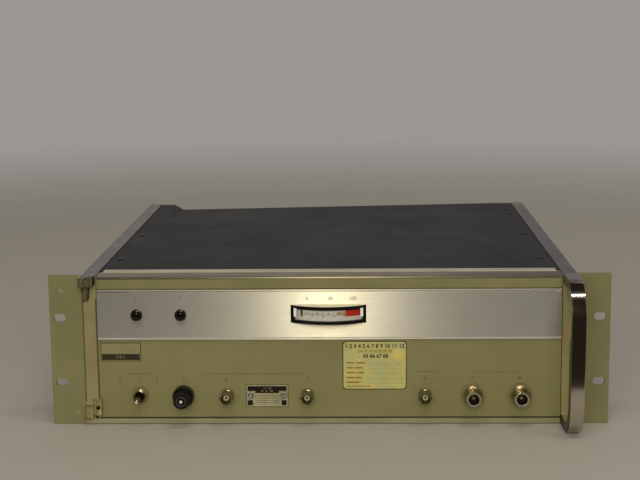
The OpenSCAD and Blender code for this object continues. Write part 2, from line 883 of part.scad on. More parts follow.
module meter_mask() {
    inside = window_t + mask_gap;
    z0 = meter_z0 + mask_rise;
    color("#14120f") difference() {
        meter_space(mask_r, inside, inside, panel_t);
        meter_space(mask_r - mask_t, inside + mask_t, -bite, panel_t + bite);
        wide_box(meter_w / 2 - inside - mask_t, meter_face - meter_bulge, pivot_y, z0, z0 + mask_open);
    }
}

module meter_scale() {
    color("#cfc9a6") difference() {
        intersection() {
            rod_z(0, pivot_y, scale_r, scale_z0, scale_z1);
            wide_box(scale_half, meter_face - meter_bulge, panel_t + 4, 0, body_h);
        }
        rod_z(0, pivot_y, scale_r - scale_t, 0, body_h);
    }
}

module meter_pointer() {
    tip_r = scale_r + pointer_space / 2;
    tip_t = 0.6;
    arm_top = arm_z + arm_t;
    color("#1b1815") translate([0, pivot_y, 0]) rotate([0, 0, -pointer_rest]) difference() {
        union() {
            translate([0, 0, arm_top - hub_h]) cylinder(h = hub_h, r = hub_r);
            box([-tip_t, -tip_r - tip_t / 2, arm_z], [tip_t, 0, arm_top]);
            box([-tip_t, -tip_r - tip_t / 2, arm_top - pointer_drop], [tip_t, tip_t / 2 - tip_r, arm_top]);
            box([-2 * tip_t, 0, arm_z], [2 * tip_t, tail_l, arm_top]);
        }
        translate([0, 0, arm_top - hub_h - bite]) cylinder(h = hub_h + 2 * bite, r = pivot_r + shaft_fit);
    }
}

module meter_housing() {
    inner = meter_w / 2 - window_t;
    outer = inner + window_t + housing_wall;
    color("#1d1b19") difference() {
        wide_box(outer, panel_t, housing_y1, meter_z0 - housing_wall, meter_z1 + housing_wall);
        wide_box(inner, panel_t - bite, housing_y1 - housing_wall, meter_z0 + window_t, meter_z1 - window_t);
    }
}

// The pivot that the pointer turns on, and the magnet behind it.
module meter_movement() {
    color("#8d8a84") {
        rod_z(0, pivot_y, pivot_r, meter_z0 + window_t, meter_z1 - window_t);
        wide_box(magnet_half, magnet_y0, magnet_y1, meter_z0 + window_t, meter_z1 - window_t);
    }
}

// Toggle switch

module toggle_body() {
    bore = lever_ball_r + lever_gap;
    color("#8f8b82") difference() {
        union() {
            rod_y(toggle_x, switch_z, bushing_r, -bushing_out, panel_t + bite);
            translate([toggle_x, 0, switch_z])
                wide_box(switch_half, panel_t, panel_t + switch_d, -switch_half - 1, switch_half + 1);
        }
        rod_y(toggle_x, switch_z, bore, -bushing_out - bite, panel_t + switch_tail);
        rod_y(toggle_x, switch_z, bushing_r - mouth_wall, -bushing_out - bite, mouth_l - bushing_out);
        pivot_pin(pin_fit);
    }
}

module pivot_pin(gap) {
    rod_z(toggle_x, lever_y, pivot_pin_r + gap, switch_z - pivot_pin_l - gap, switch_z + pivot_pin_l + gap);
}

module toggle_nut() {
    color("#9a968c") difference() {
        rod_y(toggle_x, switch_z, bushing_r + toggle_nut_wall, -toggle_nut_t, 0);
        rod_y(toggle_x, switch_z, bushing_r + fit / 2, -toggle_nut_t - bite, bite);
    }
}

module toggle_lever() {
    reach = lever_out + lever_y - lever_tip_r;
    color("#a8a49a") {
        translate([toggle_x, lever_y, switch_z]) rotate([90, 0, 0]) {
            sphere(r = lever_ball_r);
            cylinder(h = reach, r1 = neck_r, r2 = lever_tip_r);
            translate([0, 0, reach]) sphere(r = lever_tip_r);
            translate([0, 0, -switch_tail]) cylinder(h = switch_tail, r = tail_r);
        }
        pivot_pin(0);
    }
}

// Fuse holder: the cap turns and pulls the cartridge out

module fuse_holder() {
    color("#1c1a18") difference() {
        union() {
            rod_y(fuse_x, switch_z, collar_r, -collar_out, 0);
            rod_y(fuse_x, switch_z, nose_r, -collar_out - nose_l, bite);
            rod_y(fuse_x, switch_z, fuse_barrel_r, 0, fuse_barrel_y);
        }
        rod_y(fuse_x, switch_z, fuse_bore_r, -collar_out - nose_l - bite, fuse_barrel_y - fuse_end);
    }
}

module fuse_cartridge() {
    color("#b9b4a6") rod_y(fuse_x, switch_z, fuse_r, fuse_front, fuse_front + fuse_l);
}

module fuse_cap() {
    rear = -collar_out - cap_gap;
    turn = 360 / cap_grips;
    color("#1c1613") difference() {
        rod_y(fuse_x, switch_z, cap_r, rear - cap_l, rear);
        rod_y(fuse_x, switch_z, nose_r + cap_gap, rear - nose_l - cap_gap, rear + bite);
        rod_y(fuse_x, switch_z, fuse_r + fit, fuse_front - fit, rear);
        for (i = [0 : cap_grips - 1])
            rod_y(fuse_x + cap_r * cos(i * turn), switch_z + cap_r * sin(i * turn), grip_r,
                rear - cap_l - bite, rear - cap_end);
    }
}

// Jacks

module bnc_jack(x) {
    lug_y = lug_back - bnc_out;
    color("#b08d4e") difference() {
        union() {
            rod_y(x, jack_z, bnc_r, -bnc_out, panel_t + jack_rear);
            rod_y(x, jack_z, bnc_r + bnc_base, -bnc_base_t, 0);
            rod_x(lug_y, jack_z, lug_r, x - bnc_r - lug_reach, x + bnc_r + lug_reach);
        }
        rod_y(x, jack_z, bnc_bore_r, -bnc_out - bite, jack_bore_l - bnc_out);
        rod_y(x, jack_z, bnc_core_r, -bnc_out, panel_t + jack_rear + bite);
    }
}

module n_jack(x) {
    color("#b3975a") difference() {
        union() {
            rod_y(x, jack_z, n_r, n_nose_l - n_out, panel_t + jack_rear);
            rod_y(x, jack_z, n_nose_r, -n_out, 0);
            rod_y(x, jack_z, n_base_r, -n_base_t, 0);
            rod_y(x, jack_z, n_tail_r, panel_t + jack_rear - bite, line_start);
        }
        rod_y(x, jack_z, n_bore_r, -n_out - bite, jack_bore_l - n_out);
        rod_y(x, jack_z, n_core_r, -n_out, line_start + bite);
    }
}

module bnc_jack_left() {
    bnc_jack(bnc_left_x);
}

module bnc_jack_middle() {
    bnc_jack(bnc_middle_x);
}

module bnc_jack_right() {
    bnc_jack(bnc_right_x);
}

module n_jack_input() {
    n_jack(n_input_x);
}

module n_jack_output() {
    n_jack(n_output_x);
}

// An insulator from the bottom of a jack's bore to the jack's rear end, with a hole for the contact.
module jack_core(x, core_r, pin_r, y0, y1) {
    difference() {
        rod_y(x, jack_z, core_r - fit / 2, y0, y1);
        rod_y(x, jack_z, pin_r + fit / 2, y0 - bite, y1 + bite);
    }
}

module jack_insulators() {
    color("#e6e2d6") {
        for (x = bnc_x)
            jack_core(x, bnc_core_r, bnc_pin_r, jack_bore_l - bnc_out, panel_t + jack_rear);
        for (x = n_x) jack_core(x, n_core_r, n_pin_r, jack_bore_l - n_out, line_start);
    }
}

module jack_contacts() {
    color("#c2a04e") {
        for (x = bnc_x) rod_y(x, jack_z, bnc_pin_r, jack_bore_l - bnc_out, panel_t + jack_rear + pin_tail);
        for (x = n_x) rod_y(x, jack_z, n_pin_r, jack_bore_l - n_out, line_start);
    }
}

module rear_nut(x, z, r) {
    difference() {
        hex_y(x, z, r + nut_wall, panel_t, panel_t + nut_t);
        rod_y(x, z, r + fit / 2, panel_t - bite, panel_t + nut_t + bite);
    }
}

module panel_nuts() {
    color("#9a968c") {
        for (x = bnc_x) rear_nut(x, jack_z, bnc_r);
        for (x = n_x) rear_nut(x, jack_z, n_r);
        rear_nut(fuse_x, switch_z, fuse_barrel_r);
    }
}

// Plates and labels

module data_plate() {
    color("#7f7953") difference() {
        round_plate(plate_x, plate_z, plate_w, plate_h, plate_t, 1);
        each_plate_screw() screw_hole(plate_screw, plate_t);
    }
}

module property_tag() {
    color("#8a8163") round_plate(tag_inset + tag_w / 2 - panel_half, tag_z, tag_w, tag_h, tag_t, 1);
}

module paper_label() {
    color("#9d9254") round_plate(label_x, label_z, label_w, label_h, label_t, label_r);
}

// Chassis deck with its stand-offs

module chassis_deck() {
    color("#a39d8d") difference() {
        union() {
            wide_box(frame_in, deck_y0, deck_y1, deck_z, deck_top);
            for (sx = [-1, 1])
                box([sx > 0 ? frame_in - deck_t : -frame_in, deck_y0, deck_z],
                    [sx > 0 ? frame_in : deck_t - frame_in, deck_y1, deck_top + deck_flange]);
            for (x = [board_x0 + board_edge, board_x1 - board_edge])
                for (y = [board_y0 + board_edge, board_y1 - board_edge])
                    rod_z(x, y, standoff_r, deck_z, board_z);
        }
        for (side = [0, 1]) mirror([side, 0, 0]) each_deck_screw() screw_hole(small_screw, deck_t + web_t);
    }
}

// Power supply

module transformer_core() {
    window_w = (core[0] - 2 * core_leg) / 2;
    window_h = core[2] - core_leg;
    color("#4a4642") translate([core_x, core_y, deck_top]) {
        difference() {
            wide_box(core[0] / 2, -core[1] / 2, core[1] / 2, 0, core[2]);
            for (sx = [-1, 1])
                translate([sx * (core_leg + window_w) / 2, 0, 0])
                    wide_box(window_w / 2, -core[1], core[1], core_leg / 2, core_leg / 2 + window_h);
        }
        for (sx = [-1, 1])
            translate([sx * core[0] / 2, 0, 0]) wide_box(foot_w, -core[1] / 2, core[1] / 2, 0, foot_t);
    }
}

module transformer_coil() {
    window_w = (core[0] - 2 * core_leg) / 2;
    window_h = core[2] - core_leg;
    z0 = core_leg / 2 + sheet_gap;
    z1 = core_leg / 2 + window_h - sheet_gap;
    half_x = core_leg / 2 + window_w - sheet_gap;
    color("#7d6a3a") translate([core_x, core_y, deck_top]) difference() {
        wide_box(half_x, -core[1] / 2 - coil_over, core[1] / 2 + coil_over, z0, z1);
        wide_box(core_leg / 2 + sheet_gap, -core[1] / 2 - sheet_gap, core[1] / 2 + sheet_gap, 0, core[2]);
    }
}

module filter_capacitors() {
    color("#6f7480") for (x = capacitor_x) {
        rod_z(x, capacitor_y, capacitor_r, deck_top, deck_top + capacitor_h);
        rod_z(x, capacitor_y, capacitor_r + clamp_t, deck_top, deck_top + clamp_h);
    }
}

module helix_supply_can() {
    color("#7b7a74") {
        wide_box(can_half, can_y[0], can_y[1], deck_top, deck_top + can_h);
        for (sx = [-1, 1])
            rod_z(sx * can_half / 2, (can_y[0] + can_y[1]) / 2, terminal_r, deck_top + can_h - bite,
                deck_top + can_h + terminal_h);
    }
}

// Regulator board with resistors, capacitors and a finned power stage.
module regulator_board() {
    top = board_z + board_t;
    color("#5f6b3c") {
        box([board_x0, board_y0, board_z], [board_x1, board_y1, top]);
        for (i = [0 : 5])
            rod_x(part_y + resistor_pitch * i, top + 0.9 * resistor[0], resistor[0], resistor_x,
                resistor_x + resistor[1]);
        for (i = [0 : 3])
            rod_z(small_can_x, part_y + can_pitch * i, small_can[0], board_z, top + small_can[1]);
        for (i = [0 : 4])
            rod_z(transistor_x, part_y + transistor_pitch * i, transistor[0], board_z, top + transistor[1]);
    }
}

// Travelling-wave tube

module tube_barrel() {
    color("#b8b2a4") {
        rod_y(tube_x, tube_z, tube_r, tube_y0, tube_y1);
        rod_y(tube_x, tube_z, gun_r, tube_y0 - gun_l, tube_y0 + bite);
        rod_z(n_input_x, coupler_in, coupler_r, coupler_drop, tube_z);
        rod_z(n_output_x, coupler_out, coupler_r, coupler_drop, tube_z);
    }
}

module tube_cooler() {
    fin_pitch = cooler_l / fin_count;
    fin_t = 2;
    color("#9b978d") {
        rod_y(tube_x, tube_z, tube_r * 0.6, tube_y1, cooler_y1);
        for (i = [0 : fin_count - 1])
            rod_y(tube_x, tube_z, fin_r, tube_y1 + i * fin_pitch, tube_y1 + i * fin_pitch + fin_t);
    }
}

module tube_cradles() {
    color("#8f8a7e") for (y = cradle_y) difference() {
        translate([tube_x, 0, 0]) wide_box(cradle_half, y - cradle_d / 2, y + cradle_d / 2, deck_top,
            tube_z - cradle_drop);
        rod_y(tube_x, tube_z, tube_r + fit, y - cradle_d, y + cradle_d);
    }
}

// A rigid line from the rear of a jack along the deck and up to a coupler of the tube.
module rf_line(x, y1) {
    rod_y(x, jack_z, line_r, line_start, y1 - elbow_r);
    translate([x, y1 - elbow_r, jack_z + elbow_r])
        rotate([0, 0, 90]) rotate([90, 0, 0]) rotate([0, 0, -90])
            rotate_extrude(angle = 90) translate([elbow_r, 0]) circle(r = line_r);
    rod_z(x, y1, line_r, jack_z + elbow_r, coupler_drop);
}

module rf_input_line() {
    color("#b9a06a") rf_line(n_input_x, coupler_in);
}

module rf_output_line() {
    color("#b9a06a") rf_line(n_output_x, coupler_out);
}

// Fan

module fan_housing() {
    color("#3a3936") translate([tube_x, 0, tube_z]) difference() {
        union() {
            difference() {
                wide_box(fan_w / 2, fan_y, rear_in, -fan_w / 2, fan_w / 2);
                rod_y(0, 0, fan_bore_r, fan_y - bite, rear_in + bite);
            }
            for (i = [0 : 2]) rotate([0, i * 120, 0]) box([-2, fan_y, 0], [2, fan_y + 3, fan_bore_r + bite]);
            rod_y(0, 0, motor_r, fan_y, fan_y + motor_l);
            rod_y(0, 0, shaft_r, fan_y, rotor_y1);
        }
        translate([-tube_x, 0, -tube_z]) each_fan_screw() screw_hole(small_screw, guard_t + rear_t + 6);
    }
}

module fan_rotor() {
    blade_pitch = 35;
    blade_t = 1.6;
    color("#2c2b29") translate([tube_x, 0, tube_z]) difference() {
        union() {
            rod_y(0, 0, motor_r, rotor_y0, rotor_y1);
            intersection() {
                for (i = [0 : blade_count - 1])
                    rotate([0, i * 360 / blade_count, 0]) translate([0, (rotor_y0 + rotor_y1) / 2, 0])
                        rotate([0, 0, blade_pitch])
                            box([-blade_t / 2, -fan_d / 2, 0], [blade_t / 2, fan_d / 2, fan_w]);
                rod_y(0, 0, rotor_r, rotor_y0 + 0.5, rotor_y1 - 0.5);
            }
        }
        rod_y(0, 0, shaft_r + shaft_fit, rotor_y0 - bite, rotor_y1 + bite);
    }
}

module fan_guard() {
    ring_w = 3;
    gap_w = 6;
    first = 10;
    color("#b3aea2") translate([tube_x, 0, tube_z]) difference() {
        wide_box(fan_w / 2, rear_out, rear_out + guard_t, -fan_w / 2, fan_w / 2);
        difference() {
            for (r = [first : ring_w + gap_w : fan_bore_r - gap_w]) difference() {
                rod_y(0, 0, r + gap_w, rear_out - bite, rear_out + guard_t + bite);
                rod_y(0, 0, r, rear_out - 2 * bite, rear_out + guard_t + 2 * bite);
            }
            for (turn = [0, 90]) rotate([0, turn + 45, 0])
                wide_box(fan_w, rear_out - 3 * bite, rear_out + guard_t + 3 * bite, -ring_w / 2, ring_w / 2);
        }
        translate([-tube_x, 0, -tube_z]) each_fan_screw() screw_hole(small_screw, guard_t);
    }
}

// Power inlet and voltage selector

module power_inlet() {
    floor_y = rear_in - inlet_d;
    pin = [1, 2];
    color("#1f1d1b") translate([inlet_x, 0, inlet_z]) {
        difference() {
            union() {
                wide_box(inlet_half[0] + inlet_wall, floor_y - inlet_wall, rear_out + bite,
                    -inlet_half[1] - inlet_wall, inlet_half[1] + inlet_wall);
                wide_box(inlet_ear + 4, rear_out, rear_out + rear_t, -inlet_half[1] - inlet_wall - 1,
                    inlet_half[1] + inlet_wall + 1);
            }
            wide_box(inlet_half[0], floor_y, rear_out + rear_t + bite, -inlet_half[1], inlet_half[1]);
            translate([-inlet_x, 0, -inlet_z]) each_inlet_screw() screw_hole(small_screw, 2 * rear_t);
        }
        for (place = [[-7, -2], [0, 2.5], [7, -2]])
            translate([place[0], 0, place[1]]) wide_box(pin[0], floor_y - bite, rear_in - 2, -pin[1], pin[1]);
    }
}

module voltage_selector() {
    depth = 16;
    color("#8d897f") translate([selector_x, 0, selector_z]) difference() {
        wide_box(selector_half[0], rear_in - depth, rear_in, -selector_half[1], selector_half[1]);
        wide_box((slider_w + slider_travel) / 2 + 2 * slider_gap, rear_in - depth / 2, rear_in + bite,
            -slider_h / 2 - slider_gap, slider_h / 2 + slider_gap);
    }
}

module selector_slider() {
    depth = 16;
    color("#c8c2b2") translate([selector_x - slider_travel / 2, 0, selector_z])
        wide_box(slider_w / 2, rear_in - depth / 2 + slider_gap, rear_out + 2, -slider_h / 2, slider_h / 2);
}

placed() left_side_frame();
placed() right_side_frame();
placed() left_rack_ear();
placed() right_rack_ear();
placed() cabinet_screws();
placed() front_panel();
placed() trim_band();
placed() top_front_rail();
placed() bottom_front_rail();
placed() filler_strip();
placed() top_cover();
placed() bottom_cover();
placed() left_side_cover();
placed() right_side_cover();
placed() rear_panel();
placed() standby_lamp_lens();
placed() power_lamp_lens();
placed() standby_lamp_holder();
placed() power_lamp_holder();
placed() meter_window();
placed() meter_mask();
placed() meter_scale();
placed() meter_pointer();
placed() meter_housing();
placed() meter_movement();
placed() toggle_body();
placed() toggle_nut();
placed() toggle_lever();
placed() fuse_holder();
placed() fuse_cartridge();
placed() fuse_cap();
placed() bnc_jack_left();
placed() bnc_jack_middle();
placed() bnc_jack_right();
placed() n_jack_input();
placed() n_jack_output();
placed() jack_insulators();
placed() jack_contacts();
placed() panel_nuts();
placed() data_plate();
placed() property_tag();
placed() paper_label();
placed() chassis_deck();
placed() transformer_core();
placed() transformer_coil();
placed() filter_capacitors();
placed() helix_supply_can();
placed() regulator_board();
placed() tube_barrel();
placed() tube_cooler();
placed() tube_cradles();
placed() rf_input_line();
placed() rf_output_line();
placed() fan_housing();
placed() fan_rotor();
placed() fan_guard();
placed() power_inlet();
placed() voltage_selector();
placed() selector_slider();
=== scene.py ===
import json
import math

import bpy
from mathutils import Matrix, Vector


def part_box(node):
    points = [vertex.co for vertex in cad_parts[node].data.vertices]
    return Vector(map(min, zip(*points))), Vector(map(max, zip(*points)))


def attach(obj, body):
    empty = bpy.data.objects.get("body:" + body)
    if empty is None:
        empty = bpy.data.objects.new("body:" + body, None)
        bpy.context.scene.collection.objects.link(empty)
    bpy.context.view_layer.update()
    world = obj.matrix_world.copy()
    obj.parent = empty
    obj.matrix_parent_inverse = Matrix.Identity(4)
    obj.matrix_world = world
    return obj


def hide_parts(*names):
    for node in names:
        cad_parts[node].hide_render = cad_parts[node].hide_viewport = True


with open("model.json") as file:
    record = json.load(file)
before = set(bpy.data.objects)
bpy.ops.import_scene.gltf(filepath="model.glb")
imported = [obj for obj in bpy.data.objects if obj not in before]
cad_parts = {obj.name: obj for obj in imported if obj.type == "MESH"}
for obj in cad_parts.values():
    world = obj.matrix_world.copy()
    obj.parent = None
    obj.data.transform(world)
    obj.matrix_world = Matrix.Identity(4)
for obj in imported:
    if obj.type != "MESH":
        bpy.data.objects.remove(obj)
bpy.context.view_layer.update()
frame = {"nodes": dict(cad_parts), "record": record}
nodes, record = frame["nodes"], frame["record"]
bodyOf = {node: body for body, members in record["behaviour"]["bodies"].items() for node in members}
mm = 0.001
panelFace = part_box("front_panel")[0].y      # front faces of the olive panel and of the bright band
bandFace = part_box("trim_band")[0].y
print("cad frame loaded:", len(nodes), "nodes")


# small helpers: colours, nodes, selection

def hexToLinear(code):
    parts = [int(code[i:i + 2], 16) / 255 for i in (1, 3, 5)]
    return tuple(p / 12.92 if p <= 0.04045 else ((p + 0.055) / 1.055) ** 2.4 for p in parts) + (1.0,)


def addNode(tree, kind, inputs=None, **settings):
    node = tree.nodes.new(kind)
    for name, value in settings.items():
        setattr(node, name, value)
    for socket, value in (inputs or {}).items():
        if isinstance(value, bpy.types.NodeSocket):
            tree.links.new(value, node.inputs[socket])
        else:
            node.inputs[socket].default_value = value
    return node


def newTree(name):
    # an empty material and its node tree
    material = bpy.data.materials.new(name)
    material.use_nodes = True
    material.node_tree.nodes.clear()
    return material, material.node_tree


def pickOnly(*pieces):
    bpy.ops.object.select_all(action="DESELECT")
    for piece in pieces:
        piece.select_set(True)
    bpy.context.view_layer.objects.active = pieces[0]


def setMode(mode):
    bpy.ops.object.mode_set(mode=mode)


def editAll(piece):
    # leaves the piece in edit mode with everything selected
    pickOnly(piece)
    setMode("EDIT")
    bpy.ops.mesh.select_all(action="SELECT")


def pickFaces(piece, wanted):
    # leaves the piece in edit mode with only the wanted faces selected
    pickOnly(piece)
    setMode("EDIT")
    bpy.ops.mesh.select_mode(type="FACE")
    bpy.ops.mesh.select_all(action="DESELECT")
    setMode("OBJECT")
    for face in piece.data.polygons:
        face.select = wanted(face)
    setMode("EDIT")


def added(make, **settings):
    # runs an operator that adds an object, with nothing else selected
    bpy.ops.object.select_all(action="DESELECT")
    make(**settings)
    return bpy.context.object


def fixPlace(piece, scale=(1, 1, 1)):
    # puts a piece's place, turn and scale into its mesh
    pickOnly(piece)
    piece.scale = scale
    bpy.ops.object.transform_apply(location=True, rotation=True, scale=True)
    return piece


def applyAll(piece):
    pickOnly(piece)
    for modifier in list(piece.modifiers):
        bpy.ops.object.modifier_apply(modifier=modifier.name)


# how meshes are merged, joined up and rounded
meshCare = {"doublesM": 1e-6, "cadDoublesM": 2e-6, "flatDeg": 0.6, "segments": 2, "sharpDeg": 40}


def faceOut(piece):
    editAll(piece)
    bpy.ops.mesh.remove_doubles(threshold=meshCare["doublesM"])
    bpy.ops.mesh.normals_make_consistent(inside=False)
    setMode("OBJECT")


def flatNormals(piece):
    # keeps the flats flat with area-weighted normals
    pickOnly(piece)
    bpy.ops.mesh.customdata_custom_splitnormals_clear()
    bpy.ops.object.shade_smooth_by_angle(angle=math.radians(meshCare["sharpDeg"]))
    piece.modifiers.new("flats", "WEIGHTED_NORMAL").keep_sharp = True
    applyAll(piece)


def softEdges(piece, edgeMm):
    # rounds the sharp edges
    bevel = piece.modifiers.new("edge", "BEVEL")
    bevel.width, bevel.segments = edgeMm * mm, meshCare["segments"]
    bevel.limit_method, bevel.angle_limit = "ANGLE", math.radians(meshCare["sharpDeg"])
    bevel.use_clamp_overlap, bevel.loop_slide, bevel.miter_outer = False, False, "MITER_SHARP"
    applyAll(piece)
    flatNormals(piece)


def cutAt(piece, planes):
    # splits long faces; a plane is (x, y, z) in mm, zero but for one
    for plane in planes:
        editAll(piece)
        bpy.ops.mesh.bisect(plane_co=Vector(plane) * mm, plane_no=plane)
        setMode("OBJECT")


def coat(piece, finish):
    piece.data.materials.clear()
    piece.data.materials.append(finish)


# how far a face's normal leans to the side that the face looks to
squarely, mostly, partly = 0.9, 0.7, 0.5


def recoat(piece, finish, wanted):
    # gives the wanted faces a second finish
    piece.data.materials.append(finish)
    for face in piece.data.polygons:
        if wanted(face):
            face.material_index = len(piece.data.materials) - 1


def settle(piece, name, finish=None, body="cabinet"):
    # a piece that isn't coated yet gets its finish here
    if finish:
        coat(piece, finish)
    piece.name = piece.data.name = name
    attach(piece, body)
    return piece


def meshCopy(piece, name):
    # a copy with a mesh of its own
    twin = bpy.data.objects.new(name, piece.data.copy())
    bpy.context.scene.collection.objects.link(twin)
    return twin


def movedCopy(piece, moveMm):
    twin = meshCopy(piece, piece.name + "_twin")
    twin.data.transform(Matrix.Translation(Vector(moveMm) * mm))
    return twin


def mergedCopy(node):
    # the CAD mesh is loose triangles, so the copy is merged and its flat faces joined up
    piece = meshCopy(nodes[node], node + "_dressed")
    pickOnly(piece)
    bpy.ops.mesh.customdata_custom_splitnormals_clear()
    editAll(piece)
    bpy.ops.mesh.remove_doubles(threshold=meshCare["cadDoublesM"])
    bpy.ops.mesh.dissolve_limited(angle_limit=math.radians(meshCare["flatDeg"]))
    setMode("OBJECT")
    return piece


def standFor(piece, node):
    settle(piece, node + "_dressed", body=bodyOf[node])
    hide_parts(node)
    return piece


def keepInside(piece, node):
    # no corner of a dressed piece leaves the box of the solid that it stands for
    low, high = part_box(node)
    for vertex in piece.data.vertices:
        vertex.co = [min(max(vertex.co[axis], low[axis]), high[axis]) for axis in range(3)]


def roundedCopy(node, edgeMm, finish, planes=()):
    piece = mergedCopy(node)
    cutAt(piece, planes)
    coat(piece, finish)
    softEdges(piece, edgeMm)
    keepInside(piece, node)
    return standFor(piece, node)


def brushMap(piece, spreadAxis):
    # a map whose first direction is the one that a brushed highlight spreads along
    layer = piece.data.uv_layers.new(name="brush")
    for face in piece.data.polygons:
        steepest = max(range(3), key=lambda axis: abs(face.normal[axis]))
        flat = [axis for axis in (0, 1, 2) if axis != steepest]
        if spreadAxis in flat:
            flat = [spreadAxis] + [axis for axis in flat if axis != spreadAxis]
        for loop in face.loop_indices:
            place = piece.data.vertices[piece.data.loops[loop].vertex_index].co
            layer.data[loop].uv = (place[flat[0]], place[flat[1]])


def turnedPiece(x, z, rings, sides):
    # rings are (mm in front of the panel face, radius in mm) from the back to the front, closed at both ends
    out, radius = rings[0]
    piece = fixPlace(added(bpy.ops.mesh.primitive_circle_add, vertices=sides, radius=radius * mm,
                           fill_type="NGON", location=(x, panelFace - out * mm, z),
                           rotation=(math.pi / 2, 0, 0)))
    setMode("EDIT")
    for nextOut, nextRadius in rings[1:]:
        bpy.ops.mesh.extrude_region_move(TRANSFORM_OT_translate={"value": (0, (out - nextOut) * mm, 0)})
        share = nextRadius / radius
        bpy.ops.transform.resize(value=(share, 1, share), center_override=(x, panelFace - nextOut * mm, z))
        out, radius = nextOut, nextRadius
    setMode("OBJECT")
    faceOut(piece)
    return piece


def joined(pieces):
    pickOnly(*pieces)
    if len(pieces) > 1:
        bpy.ops.object.join()
    return bpy.context.view_layer.objects.active


def printedBars(bars, face, thickMm):
    # ink bars as (x0, z0, x1, z1) in mm, standing thickMm proud of a front face
    made = []
    for x0, z0, x1, z1 in bars:
        bar = added(bpy.ops.mesh.primitive_cube_add, size=1,
                    location=((x0 + x1) / 2 * mm, face - thickMm / 2 * mm, (z0 + z1) / 2 * mm))
        made.append(fixPlace(bar, ((x1 - x0) * mm, thickMm * mm, (z1 - z0) * mm)))
    return joined(made)


letter = {"capShare": 0.7, "curveSteps": 3}         # capitals stand 0.7 of the size


def inkText(words, sizeMm, thickMm, boldMm=0.0, **place):
    # words as a thin mesh, centred on their place
    text = added(bpy.ops.object.text_add, **place)
    text.data.body, text.data.size, text.data.offset = words, sizeMm * mm, boldMm * mm
    text.data.align_x, text.data.align_y = "CENTER", "CENTER"
    text.data.extrude, text.data.resolution_u = thickMm * mm, letter["curveSteps"]
    bpy.ops.object.convert(target="MESH")
    return fixPlace(bpy.context.object)


def printedNumbers(marks, face, thickMm, turned=0.0, boldMm=0.0):
    # marks are (words, x, z, letter height) in mm; turned is 180 degrees for the rear
    return joined([inkText(words, high / letter["capShare"], thickMm, boldMm, location=(x * mm, face, z * mm),
                           rotation=(math.pi / 2, 0, math.radians(turned))) for words, x, z, high in marks])


# camera at the photograph's place, found from the rack width and the panel's corners
photoView = {"place": (0.0272, -1.3435, 0.3667), "turnDeg": 1.67, "tiltDeg": 80.02, "rollDeg": -0.57,
             "lensMm": 77.88, "sensorMm": 36}
camera = added(bpy.ops.object.camera_add)
camera.name = "photo_view"
camera.matrix_world = (Matrix.Translation(photoView["place"])
                       @ Matrix.Rotation(math.radians(photoView["turnDeg"]), 4, "Z")
                       @ Matrix.Rotation(math.radians(photoView["tiltDeg"]), 4, "X")
                       @ Matrix.Rotation(math.radians(photoView["rollDeg"]), 4, "Z"))
camera.data.lens, camera.data.sensor_width = photoView["lensMm"], photoView["sensorMm"]
bpy.context.scene.camera = camera
bpy.context.scene.view_settings.view_transform = "Standard"

# studio: a pale floor that fades into the pale room, a slim upright lamp in front that the brushed band
# answers with one warm glow, a tube overhead for the glints on the handle and the lenses, a weak broad fill
# and a rim lamp behind
studio = {"room": "#9a9794", "floor": "#9f998d", "fibre": "#9a9488", "fibreMm": 40, "floorSpan": 12.0,
          "floorCells": 8, "floorDropMm": 0.2, "fadeFrom": 0.9, "fadeTo": 2.4, "aim": (0.0, 0.0, 0.06)}
scene = bpy.context.scene
scene.world = scene.world or bpy.data.worlds.new("room")
scene.world.use_nodes = True
scene.world.node_tree.nodes.clear()
roomLight = addNode(scene.world.node_tree, "ShaderNodeBackground",
                    {"Color": hexToLinear(studio["room"]), "Strength": 1.0})
addNode(scene.world.node_tree, "ShaderNodeOutputWorld", {"Surface": roomLight.outputs[0]})

# the fill and the rim light the paint without a hard square in the metal
white, warm = (1, 1, 1), (1.0, 0.93, 0.66)
lamps = {
    "strip": {"place": (-0.04, -1.85, 0.85), "size": (0.1, 0.9), "watts": 8, "colour": warm, "inMetal": True},
    "tube": {"place": (0.25, -0.9, 2.05), "size": (1.7, 0.11), "watts": 13, "colour": white, "inMetal": True},
    "fill": {"place": (-0.1, -2.6, 0.8), "size": (2, 1.2), "watts": 44.5, "colour": white, "inMetal": False},
    "rim": {"place": (0.5, 2.6, 1.9), "size": (1.6, 1.6), "watts": 10, "colour": white, "inMetal": False}}
for name, spec in lamps.items():
    lamp = added(bpy.ops.object.light_add, type="AREA", location=spec["place"])
    lamp.name = name + "_lamp"
    lamp.data.shape, lamp.data.energy, lamp.data.color = "RECTANGLE", spec["watts"], spec["colour"]
    lamp.data.size, lamp.data.size_y = spec["size"]
    lamp.rotation_euler = (Vector(studio["aim"]) - Vector(spec["place"])).to_track_quat("-Z", "Y").to_euler()
    lamp.visible_glossy, lamp.visible_camera = spec["inMetal"], False

# matt paper sweep: even and pale, a little fibre mottle, fading to the room's own tone far off
floorPaper, tree = newTree("matt_paper_sweep")
spot = addNode(tree, "ShaderNodeTexCoord").outputs["Object"]
fibre = addNode(tree, "ShaderNodeTexNoise", {"Vector": spot, "Scale": 1000 / studio["fibreMm"],
                                             "Detail": 4.0}).outputs[0]
tone = addNode(tree, "ShaderNodeMix", {0: fibre, 6: hexToLinear(studio["floor"]),
                                       7: hexToLinear(studio["fibre"])}, data_type="RGBA").outputs[2]
sheet = addNode(tree, "ShaderNodeBsdfPrincipled", {"Base Color": tone, "Roughness": 0.9})
far = addNode(tree, "ShaderNodeVectorMath", {0: spot, 1: (0.0, 0.0, 0.0)}, operation="DISTANCE")
fade = addNode(tree, "ShaderNodeMapRange", {"Value": far.outputs["Value"], "From Min": studio["fadeFrom"],
                                            "From Max": studio["fadeTo"]}, interpolation_type="SMOOTHSTEP")
